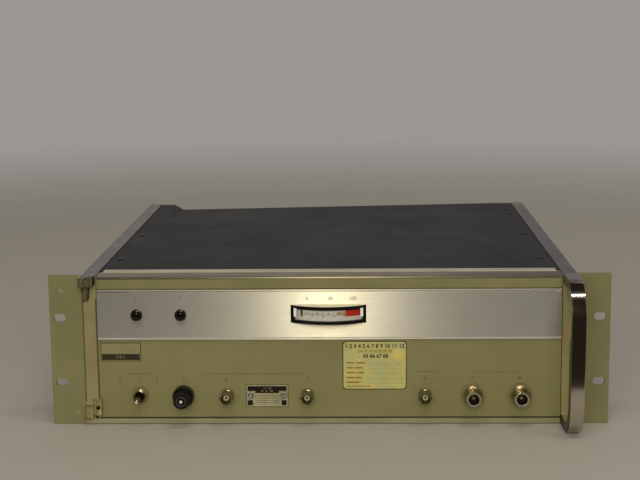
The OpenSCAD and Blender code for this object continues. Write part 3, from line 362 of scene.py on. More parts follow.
glow = addNode(tree, "ShaderNodeEmission", {"Color": hexToLinear(studio["room"]), "Strength": 1.0})
both = addNode(tree, "ShaderNodeMixShader", {0: fade.outputs[0], 1: sheet.outputs[0], 2: glow.outputs[0]})
addNode(tree, "ShaderNodeOutputMaterial", {"Surface": both.outputs[0]})
floor = fixPlace(added(bpy.ops.mesh.primitive_grid_add, x_subdivisions=studio["floorCells"],
                       y_subdivisions=studio["floorCells"], size=studio["floorSpan"],
                       location=(0, 0, -studio["floorDropMm"] * mm)))
floor.name = "floor"
coat(floor, floorPaper)

# matt black studio cards that only reflections see: they give the polished handle its dark front
cardTone = {"black": "#29241f", "greyFoot": "#79737a", "greyHead": "#5c5359", "greyZ": (1.0, 3.0)}
blackCard, tree = newTree("black_card")
dull = addNode(tree, "ShaderNodeEmission", {"Color": hexToLinear(cardTone["black"]), "Strength": 1.0})
addNode(tree, "ShaderNodeOutputMaterial", {"Surface": dull.outputs[0]})
# a grey card behind, darker towards its top, gives the handle's upper bend its tone
greyCard, tree = newTree("grey_card")
spot = addNode(tree, "ShaderNodeTexCoord").outputs["Object"]
rise = addNode(tree, "ShaderNodeSeparateXYZ", {"Vector": spot}).outputs["Z"]
shade = addNode(tree, "ShaderNodeMapRange", {"Value": rise, "From Min": cardTone["greyZ"][0],
                                             "From Max": cardTone["greyZ"][1]}).outputs[0]
tone = addNode(tree, "ShaderNodeMix", {0: shade, 6: hexToLinear(cardTone["greyFoot"]),
                                       7: hexToLinear(cardTone["greyHead"])}, data_type="RGBA").outputs[2]
dull = addNode(tree, "ShaderNodeEmission", {"Color": tone, "Strength": 1.0})
addNode(tree, "ShaderNodeOutputMaterial", {"Surface": dull.outputs[0]})
cards = {"low_card": {"place": (0, -1.984, 0.004), "size": (4.0, 3.222), "tiltDeg": 0, "paper": blackCard},
         "front_card": {"place": (0, -3.2, 3.0), "size": (6.0, 6.2), "tiltDeg": 90, "paper": blackCard},
         "top_card": {"place": (0, 0.45, 3.0), "size": (5.0, 2.9), "tiltDeg": 0, "paper": blackCard},
         "back_card": {"place": (0.54, 1.9, 1.72), "size": (0.42, 2.55), "tiltDeg": 90, "paper": greyCard}}
for name, card in cards.items():
    piece = added(bpy.ops.mesh.primitive_plane_add, size=1, location=card["place"],
                  rotation=(math.radians(card["tiltDeg"]), 0, 0))
    fixPlace(piece, card["size"] + (1,))
    piece.name = name
    coat(piece, card["paper"])
    piece.visible_camera = piece.visible_diffuse = piece.visible_shadow = False
    piece.visible_transmission = piece.visible_volume_scatter = False
print("camera and studio set")


# one builder turns the values of a finish into a material; sizes are real millimetres, stains are
# (colour, size, noise from, noise to, most) and scuffs are (colour, place, reach, most); hair lines and pores
# finer than half a millimetre don't show in the render, so their grain is drawn that coarse
finishMix = {"patchSpan": (0.36, 0.64), "grainSpan": (0.3, 0.7), "sheenSpan": (0.12, 0.4),
             "stainStart": (0.11, 0.2, 0.5), "stainStep": (0.37, 0, 0), "raggedShare": 2, "coreShare": 0.35}


def makeFinish(name, colour, patch, patchMm, rough, grainMm=0.6, grainShade=0.3, grainColour=None,
               bumpMm=0.004, stretch=(1, 1, 1), metal=0.0, gloss=0.5, brushed=0.0, stains=(), scuffs=(),
               sockets=None):
    material, tree = newTree(name)
    place = addNode(tree, "ShaderNodeTexCoord").outputs["Object"]
    drawn = addNode(tree, "ShaderNodeMapping", {"Vector": place, "Scale": stretch}).outputs[0]
    patches = addNode(tree, "ShaderNodeTexNoise", {"Vector": place, "Scale": 1000 / patchMm, "Detail": 5.0,
                                                   "Roughness": 0.6}).outputs[0]
    grain = addNode(tree, "ShaderNodeTexNoise", {"Vector": drawn, "Scale": 1000 / grainMm,
                                                 "Detail": 3.0}).outputs[0]
    layers = [(patches, finishMix["patchSpan"], 1.0, patch),
              (grain, finishMix["grainSpan"], grainShade, grainColour or patch)]
    for number, (tint, sizeMm, low, high, most) in enumerate(stains):       # scattered marks
        start = Vector(finishMix["stainStart"]) + number * Vector(finishMix["stainStep"])
        moved = addNode(tree, "ShaderNodeMapping", {"Vector": place, "Location": start}).outputs[0]
        marks = addNode(tree, "ShaderNodeTexNoise", {"Vector": moved, "Scale": 1000 / sizeMm,
                                                     "Detail": 4.0}).outputs[0]
        layers.append((marks, (low, high), most, tint))
    for tint, atMm, reachMm, most in scuffs:                                # marks at one place
        away = addNode(tree, "ShaderNodeVectorMath", {0: place, 1: Vector(atMm) * mm}, operation="DISTANCE")
        ragged = addNode(tree, "ShaderNodeMath", {0: patches, 1: reachMm * finishMix["raggedShare"] * mm},
                         operation="MULTIPLY").outputs[0]
        layers.append((away.outputs["Value"], (ragged, reachMm * finishMix["coreShare"] * mm), most, tint))
    mixed = hexToLinear(colour)
    for value, (low, high), most, tint in layers:
        share = addNode(tree, "ShaderNodeMapRange", {"Value": value, "From Min": low, "From Max": high,
                                                     "To Max": most}).outputs[0]
        mixed = addNode(tree, "ShaderNodeMix", {0: share, 6: mixed, 7: hexToLinear(tint)},
                        data_type="RGBA").outputs[2]
    sheen = addNode(tree, "ShaderNodeMath", {0: patches, 1: grain}, operation="MULTIPLY").outputs[0]
    low, high = finishMix["sheenSpan"]
    dulled = addNode(tree, "ShaderNodeMapRange", {"Value": sheen, "From Min": low, "From Max": high,
                                                  "To Min": rough[0], "To Max": rough[1]}).outputs[0]
    bump = addNode(tree, "ShaderNodeBump", {"Height": grain, "Strength": 1.0, "Distance": bumpMm * mm})
    skin = {"Base Color": mixed, "Roughness": dulled, "Normal": bump.outputs[0], "Metallic": metal,
            "Specular IOR Level": gloss}
    if brushed:
        along = addNode(tree, "ShaderNodeTangent", direction_type="UV_MAP", uv_map="brush")
        skin.update({"Anisotropic": brushed, "Tangent": along.outputs[0]})
    skin.update(sockets or {})
    body = addNode(tree, "ShaderNodeBsdfPrincipled", skin)
    addNode(tree, "ShaderNodeOutputMaterial", {"Surface": body.outputs[0]})
    return material


# baked enamel on sheet steel: olive drab, faint orange peel, a soft gloss and a few rubbed spots
oliveEnamel = makeFinish(
    "baked_olive_enamel", "#6d6844", "#67623d", patchMm=70, rough=(0.36, 0.5), grainMm=1.6, grainShade=0.25,
    bumpMm=0.02, gloss=0.4, stains=[("#7f7850", 130, 0.5, 0.75, 0.6), ("#56512f", 6, 0.7, 0.76, 0.5)])
# the same enamel on the rack ears, chipped to the steel at two corners; it also paints shade on the panel's
# top strip under the rail
earEnamelAndTopShade = makeFinish(
    "worn_olive_enamel_and_painted_top_shade", "#6b6644", "#625d3c", patchMm=40, rough=(0.36, 0.5), grainMm=1.6, grainShade=0.25,
    bumpMm=0.02, gloss=0.4, stains=[("#4d482c", 5, 0.7, 0.76, 0.4)],
    scuffs=[("#837d62", (-230.4, -182.7, 118.8), 2.4, 0.5), ("#837d62", (-220.1, -182.7, 10.6), 2.4, 0.5)])
# enamel on the narrow strip under the panel, a shade lighter
stripEnamel = makeFinish(
    "lighter_olive_enamel", "#7b7455", "#706a4b", patchMm=50, rough=(0.34, 0.46), grainMm=1.6, grainShade=0.25,
    bumpMm=0.02, gloss=0.4)
# sand-cast aluminium with a satin finish: pale grey, soft mirror, fine pores
castAluminium = makeFinish(
    "satin_cast_aluminium", "#aca7a0", "#9b958c", patchMm=30, rough=(0.3, 0.44), grainMm=1.3, grainShade=0.55,
    grainColour="#7f7973", bumpMm=0.012, stretch=(1, 0.07, 1), metal=1.0)
# extruded aluminium rails: drawn along the width, so the lines run left to right
drawnAluminium = makeFinish(
    "drawn_aluminium", "#bdb29f", "#aca08b", patchMm=60, rough=(0.28, 0.4), grainMm=0.9, grainShade=0.35,
    bumpMm=0.006, stretch=(0.03, 1, 1), metal=1.0)
# painted highlight: a pale, half-metal finish that shows a bright line along the rail's bead from any side
beadHighlight = makeFinish(
    "bead_painted_highlight", "#bab29b", "#aba289", patchMm=40, rough=(0.34, 0.46), grainMm=0.9, grainShade=0.35,
    bumpMm=0.006, stretch=(0.03, 1, 1), metal=0.35)
# polished handle aluminium, rubbed along the bar: a near mirror that smears sideways
handleAluminium = makeFinish(
    "polished_handle_aluminium", "#cfc8bb", "#c2baab", patchMm=45, rough=(0.09, 0.13), grainMm=0.7,
    grainShade=0.25, bumpMm=0.001, metal=1.0, brushed=0.15)
# painted shade: the handle's inner side in dark olive, darkest at its lower bend
handleInnerShade = makeFinish(
    "handle_aluminium_painted_inner_shade", "#6e6748", "#5c5537", patchMm=30, rough=(0.3, 0.42), grainMm=0.7,
    grainShade=0.35, metal=0.7, scuffs=[("#1c150a", (200.3, -210, 2), 48, 1.0)])
# old tinted lacquer over the pillar fronts: brown and streaked from top to bottom
pillarLacquer = makeFinish(
    "aged_tan_lacquer", "#796d4c", "#6e6241", patchMm=30, rough=(0.34, 0.5), grainMm=2.6, grainShade=0.55,
    bumpMm=0.006, stretch=(1, 1, 0.06), stains=[("#857b5b", 40, 0.5, 0.7, 0.5)],
    scuffs=[("#757048", (-206, -182.7, 116), 20, 0.9), ("#757048", (-206, -182.7, 16), 34, 0.9)])
# the other pillar kept more of its olive
oliveLacquer = makeFinish(
    "aged_olive_lacquer", "#7d754a", "#716940", patchMm=30, rough=(0.34, 0.5), grainMm=2.2, grainShade=0.4,
    bumpMm=0.006, stretch=(1, 1, 0.06), stains=[("#7a6540", 25, 0.52, 0.7, 0.5)])
# broken aluminium casting: grey crystal facets with brown oxide
brokenCasting = makeFinish(
    "fractured_cast_aluminium", "#52472f", "#261e0f", patchMm=4, rough=(0.45, 0.65), grainMm=0.9,
    grainShade=0.5, grainColour="#81775b", bumpMm=0.25, metal=0.3)
# painted shade: dark brown on faces that lie in shade, the bottom rail's front and the broken stump's side
# towards the panel
cornerShade = makeFinish(
    "brown_corner_painted_shadow", "#1b150b", "#271f13", patchMm=5, rough=(0.6, 0.8), grainMm=0.9, grainShade=0.4,
    bumpMm=0.03, gloss=0.2)
# painted shadow: a thin dark line on the enamel along the edge of whatever lies on it, on the pillar's edges
# and on the small jacks' rims
edgeShade = makeFinish(
    "olive_edge_painted_shadow", "#3b3519", "#49431f", patchMm=8, rough=(0.6, 0.8), grainMm=0.9, grainShade=0.4,
    bumpMm=0.01, gloss=0.2)
# brushed aluminium band: warm, with hair lines along its length that spread light up and down
brushedBand = makeFinish(
    "brushed_aluminium", "#dbd7cf", "#d0cbc1", patchMm=80, rough=(0.315, 0.365), grainMm=1.0, grainShade=0.5,
    grainColour="#bdb7ab", stretch=(0.012, 1, 1), metal=0.88, brushed=1.0)
# the same brushing on the band's thin rims, a little paler
brushedRim = makeFinish(
    "pale_brushed_aluminium", "#dbd7cf", "#d0cbc1", patchMm=80, rough=(0.315, 0.365), grainMm=1.0,
    grainShade=0.5, grainColour="#bdb7ab", stretch=(0.012, 1, 1), metal=0.7, brushed=1.0)
# painted highlight: the band's lower bevel in a pale, half-metal finish
bevelHighlight = makeFinish(
    "bevel_painted_highlight", "#e6dfcb", "#dad3be", patchMm=80, rough=(0.34, 0.44), grainMm=1.0,
    grainShade=0.4, stretch=(0.012, 1, 1), metal=0.3)
# the same brushing on the narrow lips and the band's upper bevel, in a darker tone
brushedLip = makeFinish(
    "darker_brushed_aluminium", "#aca48b", "#a1987f", patchMm=80, rough=(0.36, 0.42), grainMm=1.0,
    grainShade=0.5, grainColour="#938b73", stretch=(0.012, 1, 1), metal=1.0, brushed=1.0)
# textured dark cover paint: near black grey with a fine crinkle
coverPaint = makeFinish(
    "crinkle_dark_paint", "#242424", "#212121", patchMm=90, rough=(0.5, 0.66), grainMm=1.3, grainShade=0.4,
    bumpMm=0.05, gloss=0.28, stains=[("#2e2d2d", 60, 0.55, 0.75, 0.7), ("#413d38", 4, 0.72, 0.77, 0.6)])
# chromated aluminium sheet for the rear and the deck: pale gold grey with cloudy patches
chromateSheet = makeFinish(
    "chromated_aluminium_sheet", "#b9b092", "#a89c74", patchMm=45, rough=(0.36, 0.5), grainMm=1.5,
    bumpMm=0.01, metal=0.85)
# zinc-plated steel: bluish bright with a slightly yellow bloom
zincSteel = makeFinish(
    "zinc_plated_steel", "#c3c2bd", "#b0ab9d", patchMm=6, rough=(0.24, 0.38), grainShade=0.35, bumpMm=0.008,
    metal=1.0)
# tarnished nickel plate on brass: warm and glossy, browner in patches
agedNickel = makeFinish(
    "aged_nickel_plate", "#a9a07f", "#8a7f5c", patchMm=5, rough=(0.2, 0.34), grainMm=0.5,
    grainColour="#6f6342", metal=1.0)
# nickel on the nuts and flanges, olive toned so that it looks much like the panel behind it
oliveNickel = makeFinish(
    "olive_toned_nickel", "#8a8159", "#756c47", patchMm=5, rough=(0.3, 0.42), grainMm=0.5, grainShade=0.35,
    metal=0.45)
# blackened steel of the cover screws
blackSteel = makeFinish(
    "blackened_screw_steel", "#4a4846", "#3a3937", patchMm=4, rough=(0.32, 0.46), grainMm=0.5, grainShade=0.4,
    bumpMm=0.006, metal=0.7)
# brighter nickel on the jack noses and the fuse ends
brightNickel = makeFinish(
    "bright_nickel_plate", "#d9d3c4", "#c2baa6", patchMm=6, rough=(0.12, 0.24), grainMm=0.5, bumpMm=0.003,
    metal=1.0)
# pale nickel, bright from any side: the plate's washers, and painted glints on the fuse rivet and the lever's
# tip
paleNickelAndGlint = makeFinish(
    "pale_nickel_and_painted_glint", "#c6bfae", "#b3ac97", patchMm=4, rough=(0.26, 0.38), grainMm=0.5, metal=0.3)
# brass of the threads and contacts, gone a dull gold
thinGold = makeFinish(
    "dull_gold_brass", "#a5946a", "#7f6d43", patchMm=5, rough=(0.26, 0.4), grainMm=0.5, grainShade=0.35,
    metal=1.0)
# moulded phenolic: black brown, smooth, a low polish
blackPhenolic = makeFinish(
    "moulded_black_phenolic", "#0b080a", "#080607", patchMm=12, rough=(0.28, 0.4), grainMm=0.8,
    grainShade=0.4, grainColour="#120d10", bumpMm=0.008, gloss=0.25)
# the same moulding where fingers have scuffed it grey
scuffedPhenolic = makeFinish(
    "scuffed_black_phenolic", "#332e2e", "#0d0a0b", patchMm=1.8, rough=(0.3, 0.42), grainColour="#5a5453",
    bumpMm=0.02, gloss=0.4)
# dark tinted lamp lenses: unlit, so nearly black with a hot glint
lensTint = {"Specular Tint": (1.0, 0.84, 0.72, 1.0)}
lensAmber = makeFinish(
    "unlit_amber_lens", "#0c0401", "#080300", patchMm=6, rough=(0.02, 0.04), grainMm=1.0, bumpMm=0.0005,
    gloss=0.42, sockets=lensTint)
lensDark = makeFinish(         # the other lens, with less amber
    "unlit_dark_lens", "#090404", "#070303", patchMm=6, rough=(0.02, 0.04), grainMm=1.0, bumpMm=0.0005,
    gloss=0.42, sockets=lensTint)
# clear acrylic bulge: a faint grey skin that shows the scale behind it
clearAcrylic = makeFinish(
    "clear_acrylic", "#232321", "#2a2a27", patchMm=20, rough=(0.08, 0.14), grainMm=1.5, grainShade=0.2,
    bumpMm=0.002, sockets={"Alpha": 0.07, "IOR": 1.49})
# the acrylic's cut upper edge: frosted, so it looks cream
frostedAcrylic = makeFinish(
    "frosted_acrylic_edge", "#d9d2ae", "#cfc79f", patchMm=10, rough=(0.4, 0.55), grainMm=0.8, bumpMm=0.01,
    sockets={"IOR": 1.49})
# glass tube of the fuse
fuseGlass = makeFinish(
    "clear_fuse_glass", "#c6cfc6", "#b9c4ba", patchMm=8, rough=(0.05, 0.1), grainMm=1.0, grainShade=0.2,
    bumpMm=0.001, sockets={"Alpha": 0.3, "IOR": 1.5})
# matt scale paint: old cream card
scalePaint = makeFinish(
    "cream_scale_paint", "#c8c4b4", "#bbb7a4", patchMm=14, rough=(0.5, 0.62), grainMm=1.2)
blackInk = makeFinish(         # dry black ink: flat, with no shine
    "black_scale_ink", "#1b1916", "#24211c", patchMm=6, rough=(0.5, 0.6), bumpMm=0.002)
redInk = makeFinish(         # opaque red paint: strong and even
    "red_scale_paint", "#c4260c", "#a91f09", patchMm=5, rough=(0.45, 0.55), bumpMm=0.003)
orangeInk = makeFinish(         # the same red, faded to a blotchy orange
    "faded_red_paint", "#b6845f", "#ad9875", patchMm=3, rough=(0.45, 0.55), grainShade=0.4, bumpMm=0.003)
whiteInk = makeFinish(         # opaque white paint: clean and flat
    "white_scale_paint", "#f0ede4", "#e6e2d6", patchMm=5, rough=(0.45, 0.55), bumpMm=0.003)
# screen ink on the panel, thin and rubbed
panelInk = makeFinish(
    "rubbed_panel_ink", "#332e17", "#3e391f", patchMm=3, rough=(0.42, 0.52), grainMm=0.5, grainShade=0.5,
    grainColour="#4a4528", bumpMm=0.003)
bandInk = makeFinish(         # the band's ink: browner, worn thin
    "rubbed_band_ink", "#544c38", "#675d47", patchMm=3, rough=(0.42, 0.52), grainMm=0.5, grainShade=0.5,
    bumpMm=0.003)
# etched aluminium data plate: satin silver, yellowed
etchedPlate = makeFinish(
    "etched_aluminium_plate", "#b0a987", "#9b936f", patchMm=9, rough=(0.34, 0.46), grainMm=0.7,
    grainShade=0.35, bumpMm=0.005, stretch=(0.2, 1, 1), metal=0.55)
plateEnamel = makeFinish(         # black enamel in etched fields: dense, a low gloss
    "black_plate_enamel", "#0e0c07", "#14110a", patchMm=5, rough=(0.4, 0.5), gloss=0.25)
# property tag: soft foil gone beige, its lower band darkened
foilTag = makeFinish(
    "aged_foil_tag", "#807857", "#726a4a", patchMm=8, rough=(0.42, 0.56), grainMm=0.9, grainShade=0.4,
    bumpMm=0.03, metal=0.15, stains=[("#5d5436", 5, 0.6, 0.72, 0.7)])
tagInk = makeFinish(         # ink soaked into the foil: near black
    "brown_tag_ink", "#1a1509", "#2a2310", patchMm=4, rough=(0.45, 0.58), grainShade=0.4)
tagRule = makeFinish(         # the tag's fine lines, nearly worn off
    "faint_tag_ink", "#645b38", "#736a47", patchMm=3, rough=(0.45, 0.58), grainShade=0.4)
# gummed paper label: yellowed, a little greener in clouds, with an orange stain at its upper right
labelPaper = makeFinish(
    "yellowed_gummed_paper", "#958e55", "#8b864d", patchMm=12, rough=(0.6, 0.75), grainMm=0.9,
    grainShade=0.35, grainColour="#b0a970", bumpMm=0.02, stains=[("#8a9065", 16, 0.5, 0.66, 0.6),
    ("#b09a48", 14, 0.53, 0.68, 0.6)], scuffs=[("#b79f4c", (60, -182.9, 62), 7, 0.6),
    ("#ab9248", (19, -182.9, 44), 11, 0.6)])
labelInk = makeFinish(         # the bold print, gone dark brown
    "faded_brown_label_ink", "#2a1f06", "#362a0c", patchMm=4, rough=(0.6, 0.75), grainMm=0.5,
    grainColour="#4a3b16", bumpMm=0.003)
rowInk = makeFinish(         # the small print, faded to orange brown
    "faded_orange_label_ink", "#6b5018", "#7a5f22", patchMm=4, rough=(0.6, 0.75), grainMm=0.5, grainShade=0.4,
    grainColour="#94803c", bumpMm=0.003)
ruleInk = makeFinish(         # ruled lines, barely darker than the paper
    "faded_rule_ink", "#847c49", "#8c844e", patchMm=4, rough=(0.6, 0.75), grainMm=0.5, grainShade=0.4,
    bumpMm=0.003)
# fluoropolymer inside the small jacks, a brownish beige
whiteInsulator = makeFinish(
    "white_fluoropolymer", "#a89e7f", "#928967", patchMm=4, rough=(0.4, 0.52))
# painted shade: near black for the larger jacks' beads and bores and for the tips of the small jacks'
# contacts
boreShade = makeFinish(
    "fluoropolymer_painted_bore_shade", "#0e0a06", "#170f09", patchMm=4, rough=(0.45, 0.58), gloss=0.2)
# inside of the small jacks' shells: olive brown tarnish
boreTarnish = makeFinish(
    "olive_bore_tarnish", "#423918", "#2f280f", patchMm=3, rough=(0.4, 0.55), grainShade=0.4, bumpMm=0.01,
    metal=0.3)
# inside of the switch mouth: redder
mouthTarnish = makeFinish(
    "brown_mouth_tarnish", "#553610", "#41280a", patchMm=3, rough=(0.4, 0.55), grainShade=0.4, bumpMm=0.01,
    metal=0.3)
# inner works
siliconSteel = makeFinish(         # stacked sheets: grey, with fine level lines
    "stacked_silicon_steel", "#5d5a56", "#4a4744", patchMm=12, rough=(0.4, 0.55), grainMm=0.5, grainShade=0.6,
    bumpMm=0.05, stretch=(1, 1, 0.05), metal=0.8)
varnishedPaper = makeFinish(         # varnished paper: amber and glossy
    "varnished_coil_paper", "#a8803f", "#93692f", patchMm=10, rough=(0.3, 0.45), grainMm=0.8, grainShade=0.4,
    bumpMm=0.03, sockets={"Coat Weight": 0.3})
epoxyBoard = makeFinish(         # glass epoxy board: green, half gloss
    "green_epoxy_laminate", "#4f6b3c", "#456034", patchMm=15, rough=(0.35, 0.48), grainMm=0.7, grainShade=0.4,
    bumpMm=0.01)
canAluminium = makeFinish(         # drawn cans: pale grey, a soft mirror
    "drawn_can_aluminium", "#c2c0bb", "#b0ada6", patchMm=20, rough=(0.3, 0.42), grainMm=0.8, bumpMm=0.006,
    metal=1.0)
tubeNickel = makeFinish(         # satin nickel: warm grey, a soft mirror
    "satin_tube_nickel", "#bcb5a4", "#a79f8b", patchMm=18, rough=(0.25, 0.38), grainMm=0.8, bumpMm=0.005,
    metal=1.0)
fanCasting = makeFinish(         # painted casting: dark grey, fine bumps
    "painted_fan_casting", "#4b4e4c", "#414442", patchMm=20, rough=(0.45, 0.6), grainMm=1.2, grainShade=0.35,
    bumpMm=0.03)
redPlastic = makeFinish(         # moulded nylon: red and smooth, half gloss
    "moulded_red_nylon", "#8f2b20", "#7d241b", patchMm=6, rough=(0.35, 0.48), bumpMm=0.008)
print("finishes mixed")


# cabinet: rounded copies of the CAD solids, so that each edge catches light; each row has the edge in mm, the
# finish and where long faces are split
frontEdge = {"lipMm": 0.6, "beadMm": (12.8, 25.2), "beadTilt": 0.2, "bevelTilt": (0.3, 0.95), "shadeZ": 118.9,
             "coverScrewZ": 130.5}
frameFaces = {"handleMm": 0.5, "handleCutMm": 0.6, "innerTilt": 0.25, "pillarMm": 0.4,
              "pillarCutsZ": (24, 106)}
cabinetEdges = {
    "front_panel": (0.3, oliveEnamel, [(0, 0, frontEdge["shadeZ"])]), "left_rack_ear": (0.4, earEnamelAndTopShade),
    "right_rack_ear": (0.4, earEnamelAndTopShade), "filler_strip": (0.5, stripEnamel), "trim_band": (0.15, brushedBand),
    "top_front_rail": (0.25, drawnAluminium), "bottom_front_rail": (0.25, drawnAluminium),
    "left_side_frame": (0.2, castAluminium, [(0, 0, z) for z in frameFaces["pillarCutsZ"]]),
    "right_side_frame": (0.8, castAluminium, [(0, panelFace / mm - frameFaces["handleCutMm"], 0)]),
    "bottom_cover": (0.2, coverPaint), "left_side_cover": (0.4, coverPaint),
    "right_side_cover": (0.4, coverPaint), "rear_panel": (0.2, chromateSheet),
    "cabinet_screws": (0.2, zincSteel)}
dressed = {node: roundedCopy(node, *spec) for node, spec in cabinetEdges.items()}
for node, spreadAxis in (("trim_band", 2), ("top_front_rail", 2), ("right_side_frame", 0)):
    brushMap(dressed[node], spreadAxis)

# painted highlights: the rail's bead and the band's lower bevel get pale finishes; the rail's lip and the
# band's upper bevel get a darker brushed finish; painted shade: the enamel between them is darker; the
# cover's screws are darker too
recoat(dressed["front_panel"], earEnamelAndTopShade,
       lambda face: face.normal.y < -squarely and face.center.z > frontEdge["shadeZ"] * mm)
recoat(dressed["cabinet_screws"], blackSteel, lambda face: face.center.z > frontEdge["coverScrewZ"] * mm)
for finish, side in ((brushedLip, 1), (bevelHighlight, -1)):
    recoat(dressed["trim_band"], finish,
           lambda face: frontEdge["bevelTilt"][0] < side * face.normal.z < frontEdge["bevelTilt"][1])
recoat(dressed["top_front_rail"], brushedLip,
       lambda face: face.normal.y < -partly and face.center.y < panelFace + frontEdge["lipMm"] * mm)
recoat(dressed["top_front_rail"], beadHighlight,
       lambda face: face.normal.z > frontEdge["beadTilt"]
       and frontEdge["beadMm"][0] * mm < face.center.y - panelFace < frontEdge["beadMm"][1] * mm)
# painted shade: the bottom rail's front face in near black
recoat(dressed["bottom_front_rail"], cornerShade, lambda face: face.normal.y < -mostly)

# the band's thin rims, with the bevels behind them as fine lines
bandRim = {"highMm": 0.95, "outMm": 1.6, "edgeMm": 0.05}
low, high = [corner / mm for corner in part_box("trim_band")]
rims = printedBars([(low.x, high.z, high.x, high.z + bandRim["highMm"]),
                    (low.x, low.z - bandRim["highMm"], high.x, low.z)], panelFace, bandRim["outMm"])
softEdges(rims, bandRim["edgeMm"])
brushMap(rims, 2)
settle(rims, "trim_band_rims", brushedRim)

# handle, pillar fronts and broken stumps get their own finishes
onHandle = lambda face: face.center.y < panelFace - frameFaces["handleMm"] * mm
recoat(dressed["right_side_frame"], handleAluminium, onHandle)
# painted shade on the handle's inner side
recoat(dressed["right_side_frame"], handleInnerShade,
       lambda face: onHandle(face) and face.normal.x < -frameFaces["innerTilt"])
for side, lacquer in (("left_side_frame", pillarLacquer), ("right_side_frame", oliveLacquer)):
    recoat(dressed[side], lacquer, lambda face: face.normal.y < -squarely
           and abs(face.center.y - panelFace) < frameFaces["pillarMm"] * mm)
# broken handle on the left: a rough fracture above, chipped paint below, painted shade on the side towards
# the panel
stump = {"cuts": 6, "roughMm": 0.5, "seed": 4, "fromMm": 1.0, "upperZ": 100 * mm, "tilt": 0.3}
leftFrame = dressed["left_side_frame"]
onStump = lambda face: face.center.y < panelFace - stump["fromMm"] * mm
onUpper = lambda face: onStump(face) and face.center.z > stump["upperZ"]
recoat(leftFrame, oliveLacquer, lambda face: onStump(face) and face.center.z < stump["upperZ"])
recoat(leftFrame, cornerShade, lambda face: onUpper(face) and face.normal.x > partly)
recoat(leftFrame, brokenCasting, lambda face: onUpper(face) and face.normal.y < -stump["tilt"])
pickFaces(leftFrame, lambda face: onStump(face) and face.normal.y < -stump["tilt"])
bpy.ops.mesh.subdivide(number_cuts=stump["cuts"])
bpy.ops.transform.vertex_random(offset=stump["roughMm"] * mm, seed=stump["seed"])
setMode("OBJECT")
keepInside(leftFrame, "left_side_frame")
print("cabinet dressed")

# top cover: one thin sheet, pushed down along its rear edge between the two side ledges
coverLow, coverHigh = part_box("top_cover")
coverDent = {"dropMm": 6.0, "ledgeMm": 13.5, "kneeMm": 12, "reachMm": 150, "cells": 84, "sheetMm": 1.2,
             "edgeMm": 0.25}


def coverDrop(x, y):
    # deepest beside the left ledge, dying out to the right and towards the front
    share = lambda t: min(max(t, 0), 1)
    smooth = lambda t: t * t * (3 - 2 * t)
    inner = coverHigh.x - coverDent["ledgeMm"] * mm
    knee = share((x + inner) / (coverDent["kneeMm"] * mm))
    slope = share((inner - x) / (2 * inner))
    back = share(1 - (coverHigh.y - y) / (coverDent["reachMm"] * mm))
    return coverDent["dropMm"] * mm * smooth(knee) * slope * smooth(back)


cover = added(bpy.ops.mesh.primitive_grid_add, size=1, x_subdivisions=coverDent["cells"],
              y_subdivisions=coverDent["cells"],
              location=((coverLow.x + coverHigh.x) / 2, (coverLow.y + coverHigh.y) / 2, coverHigh.z))
fixPlace(cover, (coverHigh.x - coverLow.x, coverHigh.y - coverLow.y, 1))
for vertex in cover.data.vertices:
    vertex.co.z -= coverDrop(vertex.co.x, vertex.co.y)
wall = cover.modifiers.new("sheet", "SOLIDIFY")
wall.thickness, wall.offset = coverDent["sheetMm"] * mm, -1
applyAll(cover)
coat(cover, coverPaint)
softEdges(cover, coverDent["edgeMm"])
standFor(cover, "top_cover")

# the rear panel's top edge goes down with the sheet
rear = dressed["rear_panel"]
rearBend = {"cutsAt": (-186, -180, -174, -160, -130, -90, -40, 20, 80, 140), "holdZ": 108, "clearMm": 0.3}
cutAt(rear, [(0, 0, rearBend["holdZ"])] + [(x, 0, 0) for x in rearBend["cutsAt"]])
rearTop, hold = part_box("rear_panel")[1].z, rearBend["holdZ"] * mm
for vertex in rear.data.vertices:
    under = coverLow.z - coverDrop(vertex.co.x, vertex.co.y) - rearBend["clearMm"] * mm
    if vertex.co.z > hold and under < rearTop:
        vertex.co.z -= (rearTop - under) * (vertex.co.z - hold) / (rearTop - hold)
flatNormals(rear)
print("cover bent")

# front fittings, in rows like the cabinet's
fuseTube = {"endMm": 6.4, "wireMm": 0.22, "wireSides": 12}
fuseLow, fuseHigh = [corner.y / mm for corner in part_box("fuse_cartridge")]
fuseEnds = (fuseLow + fuseTube["endMm"], fuseHigh - fuseTube["endMm"])
fittingEdges = {
    "standby_lamp_lens": (0.2, lensAmber), "power_lamp_lens": (0.2, lensDark),
    "meter_window": (0.3, clearAcrylic), "meter_mask": (0.1, blackPhenolic), "meter_scale": (0.1, scalePaint),
    "meter_pointer": (0.12, blackInk), "toggle_body": (0.25, agedNickel), "toggle_nut": (0.25, oliveNickel),
    "toggle_lever": (0.1, agedNickel), "fuse_holder": (0.6, blackPhenolic), "fuse_cap": (0.4, blackPhenolic),
    "fuse_cartridge": (0.3, fuseGlass, [(0, y, 0) for y in fuseEnds]), "bnc_jack_left": (0.2, agedNickel),
    "bnc_jack_middle": (0.2, agedNickel), "bnc_jack_right": (0.2, agedNickel),
    "n_jack_input": (0.3, thinGold), "n_jack_output": (0.3, thinGold),
    "jack_insulators": (0.1, whiteInsulator), "jack_contacts": (0.25, thinGold),
    "panel_nuts": (0.3, zincSteel), "data_plate": (0.15, etchedPlate), "property_tag": (0.12, foilTag),
    "paper_label": (0.08, labelPaper),
    "fan_rotor": (0.3, blackPhenolic), "fan_guard": (0.4, zincSteel), "power_inlet": (0.4, blackPhenolic),
    "voltage_selector": (0.3, zincSteel), "selector_slider": (0.4, redPlastic)}
dressed.update({node: roundedCopy(node, *spec) for node, spec in fittingEdges.items()})
middleX = lambda node: (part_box(node)[0].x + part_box(node)[1].x) / 2
